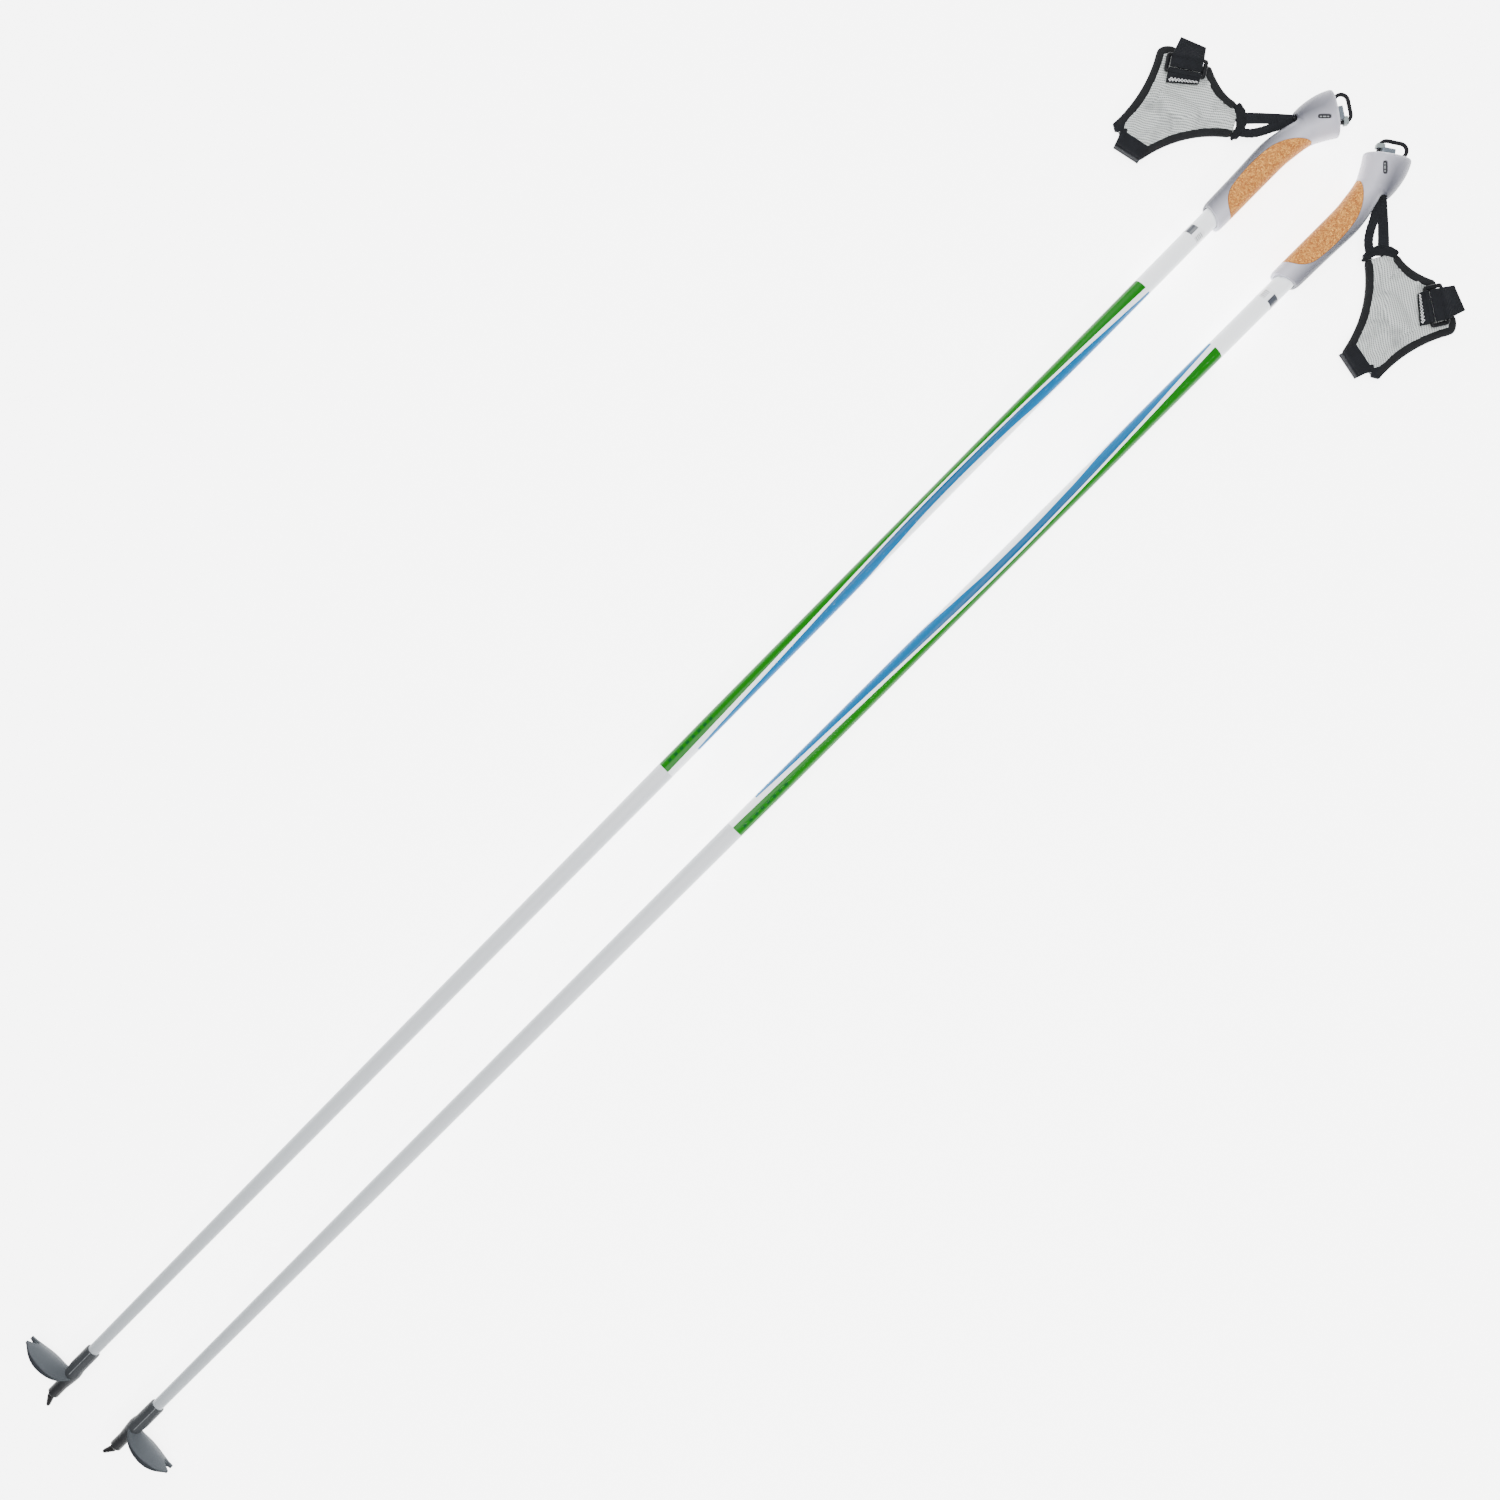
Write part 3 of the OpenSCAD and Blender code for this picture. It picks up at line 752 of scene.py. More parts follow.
# %% The cork's region
CORK_CORE = 10.5
SEAM = 0.28
cork_edge = (
    bow((52.3, -14), (55, 4.5), (74, 6.5))[:-1]
    + bow((74, 6.5), (97, 9.5), (116, 5.8))[:-1]
    + bow((116, 5.8), (134, 1.5), (146.5, -17))
)


def cork_region(grow):
    outline = beside(cork_edge, grow) + [Vector((153, -34)), Vector((50 - grow, -34))]
    prism = slab(outline, -THROUGH, THROUGH)
    return cut(prism, rod((30, 0, 0), (1, 0, 0), CORK_CORE - grow, 140))


# %% Grip shell and cork face
def grip_shell():
    shell = cut(grip_form(), cork_region(SEAM))
    shell = cut(shell, rod((20, 0, 0), (1, 0, 0), COLLAR_R, 28))
    shell = cut(shell, rod((30, 0, 0), (1, 0, 0), BORE_R, 110))
    shell = cut(shell, moved(slab(channel_outline, -CHANNEL_HALF, CHANNEL_HALF), CHANNEL))
    shell = cut(shell, slab(slot_outline, -SLOT_HALF, SLOT_HALF))
    return cut(shell, moved(slab(oval(11.4, 4, 24, 4), -THROUGH, THROUGH), WINDOW))


def grip_finish(side):
    f = Finish("grip_foam", side, Roughness=0.48, Specular_IOR_Level=0.35)
    u, v, _ = f.place.axes()
    # The back of the grip is painted darker, less so towards the head: painted shade of the side
    # turned away from the light.
    lift = v + 4 + u.over(158, 26) * 12
    back = lift.maths("DIVIDE", lift, 15, clamp=True) * (1 - u.over(166, 30) * 0.45)
    tone = mixed(back, colour(178, 177, 188), colour(60, 62, 72))
    mottle = f.place.noise(0.25, 3) * 0.08
    f.set("Base Color", mixed(mottle, tone, colour(120, 122, 132)))
    f.set("Roughness", f.place.noise(1.2, 4) * 0.12 + 0.42)
    return f.bump(f.place.noise(3.2, 4), 0.05).material


def cork_finish(side):
    f = Finish("cork", side, Roughness=0.8)
    warped = f.place.node(
        "ShaderNodeMix", {"data_type": "VECTOR"},
        {0: 0.35, 4: f.place, 5: f.place.noise(0.8, 2, output=1)}, 1,
    )
    grains = {"Vector": warped, "Scale": 1.3}
    crumbs = warped.node("ShaderNodeTexVoronoi", None, grains, 1).axes()[0]
    borders = warped.node("ShaderNodeTexVoronoi", {"feature": "DISTANCE_TO_EDGE"}, grains)
    specks = f.place.noise(1.1, 4).over(0.62, 0.08) * crumbs
    tone = mixed(crumbs, colour(160, 92, 24), colour(226, 160, 70))
    tone = mixed(1 - borders.over(0.05, 0.08), tone, colour(112, 60, 22))
    f.set("Base Color", mixed(specks, tone, colour(52, 26, 10)))
    pits = borders.over(0.04, 0.1) * 0.6 + crumbs * 0.4 - specks * 0.8
    return f.bump(pits, 0.12, 0.7).material


shell_shape = grip_shell()
cork_shape = cut(grip_form(), cork_region(0), "INTERSECT")
pair("grip_shell", shell_shape, looks(grip_finish), "pole", "grip_body")
pair("cork_face", cork_shape, looks(cork_finish), "pole", "cork_inlay")
print("grip shell and cork faces:", len(shell_shape.faces), len(cork_shape.faces))

# %% [markdown]
# A small dark window on each face of the head shows where the strap is locked. A plate sits
# a little below the surface, with a few pale plain marks.

# %% Windows
PLATE_LOW, PLATE_TOP = 12.8, 13.9


def box_between(low, high):
    """A rectangular block."""
    corners = [(low[0], low[1]), (high[0], low[1]), (high[0], high[1]), (low[0], high[1])]
    return slab(corners, low[2], high[2])


def window_plate():
    plate = slab(oval(11.8, 4.4, 24, 4), PLATE_LOW, PLATE_TOP)
    below = Matrix.Translation((0, 0, -PLATE_TOP - PLATE_LOW))
    return joined([plate.copy(), moved(plate, below)])


def window_marks():
    marks = []
    for level in (PLATE_TOP - 0.1, -PLATE_TOP - 0.1):
        for place, long in ((-2.9, 1.6), (0.2, 2.6), (3.2, 1.4)):
            low, high = (place - long / 2, -0.45, level), (place + long / 2, 0.45, level + 0.2)
            marks.append(box_between(low, high))
    return joined(marks)


mark_grey = plain_finish(
    "window_mark", (130, 133, 136), (150, 153, 156), 3.0, 0.02, Roughness=0.5
)
plate_shape, mark_shape = window_plate(), window_marks()
pair("window_plate", plate_shape, plug_black, "pole", None, WINDOW)
pair("window_marks", mark_shape, mark_grey, "pole", None, WINDOW)
print("window faces:", len(plate_shape.faces), len(mark_shape.faces))

# %% [markdown]
# ## Wedge and lug
#
# The strap is clamped by a plastic wedge that slides in the head's channel. Its outer end
# stands proud and carries a lug with the cord's eye. Both are small mouldings: an outline
# given a width, with every edge rounded, and raised ribs where a thumb pushes.

# %% Wedge, ribs and lug
WEDGE_HALF = 6
WEDGE_END = 39.2
LUG_T = -10.1
LUG_HALF = 3
wedge_outline = [
    (8, -4.4), (8.8, -4.6), (FACE_N, -8), (WEDGE_END, -8), (WEDGE_END, 2.6), (FACE_N, 2.6),
    (8.8, 0.6), (8, 0.4),
]


def wedge_block():
    body = round_edges(slab(wedge_outline, -WEDGE_HALF, WEDGE_HALF), 0.6, 3)
    ribs = []
    for start in (33.2, 35.1, 37):
        rib = box_between((start, -6.8, WEDGE_HALF - 0.2), (start + 1, 1.4, WEDGE_HALF + 0.35))
        ribs.append(round_edges(rib, 0.15, 1))
    heel = box_between((FACE_N + 1, LUG_T - 2.3, -LUG_HALF), (FACE_N + 2.7, -7.8, LUG_HALF))
    heel = round_edges(heel, 0.4)
    under = [moved(rib.copy(), Matrix.Scale(-1, 4, (0, 0, 1))) for rib in ribs]
    for rib in under:
        bmesh.ops.reverse_faces(rib, faces=rib.faces)
    return joined([body, heel] + ribs + under)


def lug_eye():
    start = WEDGE_END + 0.05
    block = box_between((start, LUG_T - 2.8, -LUG_HALF), (start + 4, LUG_T + 4.3, LUG_HALF))
    block = round_edges(block, 0.7, 3)
    return cut(block, rod((WEDGE_END - 1, LUG_T, 0), (1, 0, 0), CORD_D / 2 + 0.25, 8, 32))


wedge_grey = plain_finish(
    "wedge_plastic", (88, 96, 104), (104, 112, 120), 2.5, 0.06, Roughness=0.5
)
lug_grey = plain_finish("lug_plastic", (112, 122, 122), (132, 140, 140), 2.5, 0.06, Roughness=0.5)
wedge_shape, lug_shape = wedge_block(), lug_eye()
pair("wedge_block", wedge_shape, wedge_grey, "wedge", "strap_wedge", CHANNEL)
pair("lug_eye", lug_shape, lug_grey, "wedge", "cord_lug", CHANNEL)
print("wedge and lug faces:", len(wedge_shape.faces), len(lug_shape.faces))

# %% [markdown]
# ## Webbing
#
# Webbing is a flat woven band. Its ribs run across it and its two selvedges are thicker, so
# its finish needs to know which way the band runs: each band has its own frame, with x
# along it. The relief is fine ribs, and a slow noise that stands for wear varies the colour.


# %% Webbing finish
def webbing_finish(side, name, where, tone=1.0):
    f = Finish(f"webbing_{name}", side, where, Roughness=0.88, Specular_IOR_Level=0.15)
    x, y, z = f.place.axes()
    ribs = (x + z).wave(1.1)
    weave = ribs * y.wave(0.9) * 0.7 + ribs * 0.3
    shade = weave * 0.6 + f.place.noise(0.15, 3) * 0.4
    light = [c * tone for c in (34, 36, 41)]
    f.set("Base Color", mixed(shade, colour(11, 12, 14), colour(*light)))
    return f.bump(weave, 0.18).material


EXIT = (152.7, 7.6)
SEWN = (122.5, 44.5)
LOOP_ANGLE = math.degrees(math.atan2(SEWN[1] - EXIT[1], SEWN[0] - EXIT[0]))
STRAP = turned_frame(*EXIT, LOOP_ANGLE)
print("the strap runs at", round(LOOP_ANGLE, 1), "degrees")

# %% [markdown]
# Two bands leave the head together. The upper one is straight and widens towards the
# harness; the lower one sags in a curve, and its woven edge shows as small teeth. They bend
# at the head, where two bodies meet, and ride on neither.

# %% Strap bands
BAND_T = 1.7
LOW_Z = -4.6


def strap_bands():
    upper = smooth_line([(153.8, 7.4), (148, 14), (139.6, 23.6), (130.6, 34), (121.6, 44)], 5)
    lower = smooth_line([
        (153, 7.2), (147, 9.6), (141, 12.8), (134.6, 16.8), (126.6, 21.2), (119.4, 26.8),
        (113.8, 35),
    ], 10)
    parts = []
    for line, narrow, wide, teeth in ((upper, 8.0, 10.4, 0.0), (lower, 7.4, 7.8, 0.5)):
        last = len(line) - 1
        rings = []
        for i, (p, t) in enumerate(zip(line, ways(line))):
            share = i / last
            left = Vector((-t.y, t.x, 0))
            width = narrow + (wide - narrow) * share + (teeth if i % 4 < 2 else 0)
            drop = LOW_Z * share ** 2 + (0.5 if teeth else -0.5)
            middle = Vector((p.x, p.y, drop))
            section = oval(width, BAND_T, 12, 4)
            rings.append([middle + left * a + Vector((0, 0, b)) for a, b in section])
        parts.append(loft(rings))
    collar = rod((*EXIT, -4.4), (0, 0, 1), 2.5, 8.8, 24)
    return joined(parts + [round_edges(collar, 0.5)])


strap_shape = strap_bands()
strap_look = looks(webbing_finish, "strap", STRAP)
straps = pair("strap_bands", strap_shape, strap_look, None, "strap_webbing")
for side, strap in straps.items():
    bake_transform(strap)
repaint("strap_anchor", looks(webbing_finish, "anchor", CHANNEL))
print("strap faces:", len(strap_shape.faces))

# %% [markdown]
# ## The mesh panel
#
# The panel covers the back of the hand. It is a sheet of spacer mesh with three hollow
# edges. The outline becomes one face, planes slice it into a fine grid, and the cloth
# solver then lets the sheet grow a little between its bound edges, so that it billows and
# creases as a sewn panel does. Solidify gives it its thickness afterwards.

# %% Outline of the harness
FLOOR_W = -15.5
PANEL_W = FLOOR_W + 8
PANEL_T = 2.6
rear_edge = bow((116, 133.6), (83, 114), (44, 116.4), 28)
inner_edge = bow((41, 77), (83, 68.5), (107, 35.6), 28)
upper_edge = bow((132, 52), (126.5, 66), (137, 89), 20)
panel_outline = (
    beside(rear_edge, 2) + beside(inner_edge, 2) + beside(upper_edge, 2)
    + [Vector((134.5, 93.5)), Vector((119, 128))]
)


def flat_area(outline):
    """The area inside a flat outline, by the shoelace rule."""
    following = outline[1:] + outline[:1]
    return abs(sum(a.x * b.y - b.x * a.y for a, b in zip(outline, following))) / 2


PANEL_AREA = flat_area(panel_outline)
print("panel area, square mm:", round(PANEL_AREA))


# %% A gridded sheet
GRID = 2.2


def gridded_sheet(outline, height):
    """One face cut into small squares by planes."""
    bm = bmesh.new()
    bmesh.ops.contextual_create(bm, geom=ring(bm, [(p.x, p.y, height) for p in outline]))
    for axis in (0, 1):
        places = [v.co[axis] for v in bm.verts]
        direction = Vector((axis == 0, axis == 1, 0))
        steps = int((max(places) - min(places)) / GRID)
        for k in range(1, steps):
            spot = direction * (min(places) + k * GRID)
            everything = bm.verts[:] + bm.edges[:] + bm.faces[:]
            bmesh.ops.bisect_plane(
                bm, geom=everything, dist=0.001, plane_co=spot, plane_no=direction
            )
    bmesh.ops.recalc_face_normals(bm, faces=bm.faces)
    if sum(face.normal.z for face in bm.faces) < 0:
        bmesh.ops.reverse_faces(bm, faces=bm.faces)
    return bm


# %% Let the cloth settle
SIM_FRAMES = 22
GROWTH = 0.08
CROWN = 0.9
CROWN_MARGIN = 12


def from_edge(u, v):
    """The distance from a place on the panel to its outline."""
    return min((Vector((u, v)) - p).length for p in panel_outline)


def billow(bm):
    """Lets a sheet, in millimetres, grow between its bound edges."""
    for vert in bm.verts:
        if not vert.is_boundary:
            u, v, _ = vert.co
            swell = 1 + 0.5 * math.sin(u / 7 + v / 11)
            vert.co.z += CROWN * min(from_edge(u, v) / CROWN_MARGIN, 1) * swell
    edge = [v.index for v in bm.verts if v.is_boundary]
    bmesh.ops.scale(bm, vec=(MM, MM, MM), verts=bm.verts)
    sheet = as_object(bm, "sheet")
    group = sheet.vertex_groups.new(name="bound")
    group.add(edge, 1.0, "REPLACE")
    cloth = sheet.modifiers.new("cloth", "CLOTH")
    cloth.settings.quality = 8
    cloth.settings.mass = 0.05
    cloth.settings.tension_stiffness = 20
    cloth.settings.compression_stiffness = 12
    cloth.settings.bending_stiffness = 0.4
    cloth.settings.shrink_min = -GROWTH
    cloth.settings.vertex_group_mass = "bound"
    cloth.settings.effector_weights.gravity = 0
    cloth.collision_settings.use_collision = False
    cloth.point_cache.frame_end = SIM_FRAMES
    for step in range(1, SIM_FRAMES + 1):
        bpy.context.scene.frame_set(step)
    result = evaluated(sheet)
    bpy.context.scene.frame_set(1)
    bmesh.ops.scale(result, vec=(1 / MM, 1 / MM, 1 / MM), verts=result.verts)
    return result


# %% [markdown]
# A stitched tab lies on the panel near the ring, and the tapes grip its edges, so the sheet
# must stay low there. Each height has a cap that rises slowly with the distance past the tab
# and past the tape, whichever is nearer.

# %% Panel shape
MIDDLE_W = PANEL_W + PANEL_T / 2
RISE = 5.5
SAG = 1.2
TAB_CLEAR = 21
TAPE_CLEAR = 5.5


def panel_sheet():
    bm = gridded_sheet(panel_outline, MIDDLE_W)
    bm = billow(bm)
    to_closure = CLOSURE.inverted()
    for vert in bm.verts:
        spot = to_closure @ Vector((vert.co.x, vert.co.y, 0))
        past_tab = max(-TAB_CLEAR - spot.x, 0) * 0.3
        past_tape = max(from_edge(vert.co.x, vert.co.y) - TAPE_CLEAR, 0) * 0.45
        cap = MIDDLE_W + min(0.15 + min(past_tab, past_tape), RISE)
        vert.co.z = min(max(vert.co.z, MIDDLE_W - SAG), cap)
    return bm


def mesh_finish(side):
    weave = turned_frame(83, 83, -57)
    f = Finish("panel_mesh", side, weave, Roughness=0.8, Specular_IOR_Level=0.2)
    x, y, _ = f.place.axes()
    bend = f.place.noise(0.05, 1) * 2.4
    rows = (y + bend).wave(2.1)
    cells = (x + rows * 0.6 + bend).wave(1.5)
    holes = (1 - rows * 0.75) * (1 - cells * 0.55)
    # Soft lighter and darker patches over the panel: painted shade.
    painted_soft_shade = f.place.noise(0.06, 2)
    light = mixed(painted_soft_shade, colour(186, 191, 189), colour(212, 216, 214))
    # The same noise raises the folds in the relief and darkens the colour there: a painted shadow
    # in the creases.
    fold_relief_and_shadow = f.place.noise(0.055, 2).over(0.6, 0.22)
    light = mixed(fold_relief_and_shadow, light, colour(150, 154, 153))
    f.set("Base Color", mixed(holes.over(0.5, 0.6), light, colour(116, 120, 120)))
    return f.bump(1 - holes * 0.4 - fold_relief_and_shadow, 0.9).material


panel_shape = panel_sheet()
mesh_look = looks(mesh_finish)
panels = pair("mesh_sheet", panel_shape, mesh_look, "harness", "harness_panel")
for side, panel in panels.items():
    thick = panel.modifiers.new("thickness", "SOLIDIFY")
    thick.thickness = PANEL_T * MM
    thick.offset = 0
heights = [v.co.z for v in panel_shape.verts]
print("panel heights:", round(min(heights), 2), round(max(heights), 2))

# %% [markdown]
# ## Edge tape
#
# A knitted tape is folded over each hollow edge and sewn down. Its section is a soft oval
# that shrinks at both ends, and a tape may turn a corner there. A row of stitches runs near
# its inner edge.

# %% Tape and stitches
TAPE_W = 7.2
TAPE_T = 4.4
TAPE_Z = MIDDLE_W


def tape(line, before=(), after=()):
    """Tape whose outer edge follows a line; it may turn a corner before or after it."""
    track = beside(line, TAPE_W / 2)
    middle = smooth_line(list(before) + track[1:-1:3] + [track[-1]] + list(after), 6)
    last = len(middle) - 1

    def section(i):
        end = min(i, last - i)
        squeeze = 0.72 + 0.28 * min(end / 3, 1)
        ripple = 1 + 0.03 * math.sin(i * 1.7)
        return oval(TAPE_W * squeeze, TAPE_T * squeeze * ripple, 14, 2.7)

    return swept(middle, section, TAPE_Z)


def stitch_row(line, inset, height, pitch=2.6, thread=0.5):
    """Separate short stitches along a line."""
    track = smooth_line([Vector(p) for p in beside(line, inset)], 3)
    stitches, travelled, due = [], 0.0, 1.0
    for a, b, way in zip(track, track[1:], ways(track)):
        travelled += (b - a).length
        if travelled > due:
            due += pitch
            ends = [a - way * pitch * 0.3, a, a + way * pitch * 0.3]
            section = [oval(thread * k, thread * k, 6) for k in (0.5, 1, 0.5)]
            stitches.append(swept(ends, lambda i: section[i], height))
    return joined(stitches)


def tape_finish(side):
    f = Finish("binding_tape", side, Roughness=0.8, Specular_IOR_Level=0.25)
    u, v, _ = f.place.axes()
    knit = (u + v).wave(0.9) * (u - v).wave(0.9)
    shade = knit * 0.45 + f.place.noise(0.12, 3) * 0.55
    f.set("Base Color", mixed(shade, colour(6, 7, 9), colour(27, 29, 32)))
    return f.bump(knit, 0.14).material


thread_grey = plain_finish("thread", (70, 73, 76), (96, 99, 102), 3.0, 0.05, Roughness=0.7)
tapes = {"rear": rear_edge, "inner": inner_edge, "upper": upper_edge}
turns = {
    "rear": {"before": [(126.4, 120.4), (122.6, 126.6), (118.4, 129.6)]},
    "inner": {"before": [(37.6, 81.4)]},
    "upper": {"after": [(131.6, 92.4), (128.4, 94.6)]},
}
tape_shapes = {name: tape(line, **turns[name]) for name, line in tapes.items()}
tape_look = looks(tape_finish)
for name, line in tapes.items():
    shape, node = tape_shapes[name], f"{name}_binding"
    pair(f"{name}_tape", shape, tape_look, "harness", node)
    stitches = stitch_row(line, TAPE_W - 1.2, TAPE_Z + 1.55)
    pair(f"{name}_stitches", stitches, thread_grey, "harness")
print("tapes:", {name: len(shape.faces) for name, shape in tape_shapes.items()})

# %% [markdown]
# Where the two hollow edges meet, webbing and tape are layered and bar-tacked. This corner
# is lumpy: a folded patch with four bar tacks on it.

# %% Harness corner
PATCH_Z = TAPE_Z + TAPE_T / 2


def corner_patch():
    top = PATCH_Z + 0.9
    patch = slab(
        [(105.2, 36), (109.6, 31.4), (117, 31.6), (124, 34.6), (131.4, 43.6), (132.6, 52),
         (127, 53), (119.6, 42.4), (117, 39.8), (110.4, 38)],
        TAPE_Z - 1.4, top,
    )
    parts = [round_edges(patch, 0.8, 3)]
    lumps = [
        (106.4, 35.4, 5.2, 40), (113, 33.2, 4.2, -20),
        (131, 48.6, 5.0, 75), (124.6, 38.2, 4.4, 50),
    ]
    for u, v, long, turn in lumps:
        line = [Vector((share * long, 0)) for share in (-0.5, -0.25, 0.25, 0.5)]
        thin, thick = oval(1.6, 1.2, 10), oval(2.6, 2.0, 10)
        bar = swept(line, lambda i: thick if 0 < i < 3 else thin)
        parts.append(moved(bar, turned_frame(u, v, turn) @ Matrix.Translation((0, 0, top - 0.4))))
    return joined(parts)


corner_shape = corner_patch()
corner_look = looks(webbing_finish, "corner", STRAP, 0.9)
pair("corner_patch", corner_shape, corner_look, "harness")
print("corner faces:", len(corner_shape.faces))

# %% [markdown]
# ## Tab, ring and flap
#
# A tab of webbing is sewn to the panel and loops round the inner bar of a rectangular ring.
# The wrist band's end folds over the outer bar and is peeled open. Each band is a side
# profile, given the webbing's width and rounded at its edges.

# %% Ring
BAND_W = 25
BAR_R = 1.4
LOOP_R = 2.9
INNER_X = -10.5
OUTER_X = 3.5
BAR_Z = PANEL_W + 3 + 0.8 + LOOP_R
SIDE_Y = BAND_W / 2 + 3.2


def ring_loop():
    corner = 1.6
    line = []
    for cx, cy, turn in ((1, 1, 0), (-1, 1, 90), (-1, -1, 180), (1, -1, 270)):
        reach_x = (OUTER_X - INNER_X) / 2 - corner
        middle = Vector(((INNER_X + OUTER_X) / 2 + cx * reach_x, cy * (SIDE_Y - corner)))
        for step in range(7):
            angle = math.radians(turn + 15 * step)
            line.append(middle + corner * Vector((math.cos(angle), math.sin(angle))))
    bm = swept(line, lambda i: oval(2 * BAR_R, 2 * BAR_R, 14), 0, closed=True)
    for vert in bm.verts:
        past = abs(vert.co.y) - (SIDE_Y - BAR_R)
        if past > 0:
            vert.co.y += math.copysign(min(past, 1.2) * 0.9, vert.co.y)
    return bm


ring_dark = plain_finish("ring_plastic", (9, 10, 12), (20, 21, 24), 2.5, 0.05, Roughness=0.42)
ring_shape = moved(ring_loop(), Matrix.Translation((0, 0, BAR_Z)))
pair("buckle_ring", ring_shape, ring_dark, "ring", "closure_ring", CLOSURE)
print("ring faces:", len(ring_shape.faces))


# %% Folded bands
FOLD_T = 1.5
FOLD_R = 2.15


def band_fold(profile, width=BAND_W):
    """A band whose middle follows a side profile of (along, height)."""
    track = [Vector(p) for p in profile]
    outline = beside(track, FOLD_T / 2) + beside(track, -FOLD_T / 2)[::-1]
    bm = slab(outline, -width / 2, width / 2)
    upright = Matrix.Rotation(math.radians(90), 4, "X")
    return moved(round_edges(bm, 0.35, 2, 50), upright)


def around(x, z, radius, start, stop, steps=12):
    """Points on an arc about (x, z), from one angle to another."""
    angles = [math.radians(start + (stop - start) * k / steps) for k in range(steps + 1)]
    return [(x + radius * math.cos(a), z + radius * math.sin(a)) for a in angles]


SEWN_Z = PANEL_W + 3 + 0.95
tab_loop = around(INNER_X, BAR_Z, FOLD_R, -95, 140)
tab_profile = [(-17.8, SEWN_Z), (-14, SEWN_Z - 0.05)] + tab_loop
tab_top = smooth_line([
    (-17.9, SEWN_Z + 1.5), (-15.6, SEWN_Z + 1.6), (-13.8, BAR_Z + 0.2), tab_loop[-1],
], 5)
flap_loop = around(OUTER_X, BAR_Z, FOLD_R, 215, 60)
flap_run = smooth_line([
    flap_loop[-1], (8.6, BAR_Z + 0.9), (12.6, BAR_Z + 0.1), (17.4, BAR_Z - 0.7),
], 6)
print("the ring stands at", round(BAR_Z, 2))

# %% [markdown]
# The flap's free end is cut at a slant, because it was sewn on at an angle. A shear along
# the band does that: it moves each point outwards by an amount that grows with the distance
# past the bar. The tab's sewn end slants the other way.


# %% Tab and flap pieces
CLOSURE_W = 27.4
SEAM_LONG = 25
TAB_SLANT = (INNER_X - 2.9, -18, -4.1)
FLAP_SLANT = (OUTER_X, 17.5, 4.6, 4.3)


def slanted(bm, start, end, skew, taper=0.0):
    """Shears a band past start, and narrows its +y side by taper, up to end."""
    for vert in bm.verts:
        share = max((vert.co.x - start) / (end - start), 0)
        across = vert.co.y / (CLOSURE_W / 2)
        vert.co.x += share * skew * across / 2
        vert.co.y -= share * taper * max(across, 0)
    return bm


def zigzag(length, depth, pitch, thread):
    """A zigzag seam that runs along y."""
    count = int(length / pitch)
    line = [Vector((depth * (k % 2), -length / 2 + pitch * k)) for k in range(count + 1)]
    return swept(line, lambda i: oval(thread, thread * 0.8, 6), 0)


# A thin wavy pale line, which paints the glint along the flap's fold.
def glint_line_shape(length, thread):
    line = [Vector((0.25 * math.sin(k * 1.3), -length / 2 + length * k / 20)) for k in range(21)]
    return swept(line, lambda i: oval(thread, thread, 6), 0)


tab_shape = joined([band_fold(tab_profile, width=CLOSURE_W), band_fold(tab_top, width=CLOSURE_W)])
tab_shape = slanted(tab_shape, *TAB_SLANT)
flap_shape = band_fold(flap_loop + flap_run[1:], width=CLOSURE_W)
flap_shape = slanted(flap_shape, *FLAP_SLANT)
seams_shape = joined([
    moved(zigzag(SEAM_LONG, 1.8, 1.5, 0.75), Matrix.Translation((-16.8, 0, SEWN_Z + 2.5))),
    moved(zigzag(SEAM_LONG, 1.2, 1.3, 0.55), Matrix.Translation((-17.6, 0, SEWN_Z + 2.45))),
])
seams_shape = slanted(seams_shape, *TAB_SLANT)
inside_run = smooth_line([
    (-7.2, BAR_Z + 1.0), (-4, BAR_Z + 1.9), (-0.6, BAR_Z + 1.9), (1.2, BAR_Z + 1.2),
], 4)
inside_shape = band_fold(inside_run, width=CLOSURE_W)
# The pale line where the flap folds over the outer bar is a painted highlight: it stands for the
# glint on the bar and the band's edge.
painted_glint = moved(glint_line_shape(26.6, 0.75), Matrix.Translation((OUTER_X - 3.2, 0, BAR_Z + 1.2)))
# The white thread colours the tab's real seams and also the painted highlight line on the flap.
white_thread = plain_finish(
    "white_thread", (196, 198, 200), (232, 233, 235), 3.0, 0.08, Roughness=0.7
)
cloth = looks(webbing_finish, "closure", CLOSURE)
for name, shape, look, body, node in (
    ("stitched_tab", tab_shape, cloth, "harness", "ring_tab"),
    ("tab_seams", seams_shape, white_thread, "harness", None),
    ("flap_fold", flap_shape, cloth, "flap", "closure_flap"),
    ("band_inside", inside_shape, cloth, "ring", None),
    ("flap_edge", painted_glint, white_thread, "flap", None),
):
    pair(name, shape, look, body, node, CLOSURE)
print("tab and flap faces:", len(tab_shape.faces), len(flap_shape.faces))

# %% [markdown]
# ## The wrist band
#
# The wrist band starts folded round the panel's corner, where it is sewn, and runs under
# the panel to the closure. It lies flat, just over the floor. A patch and the tape's end
# cover the corner.

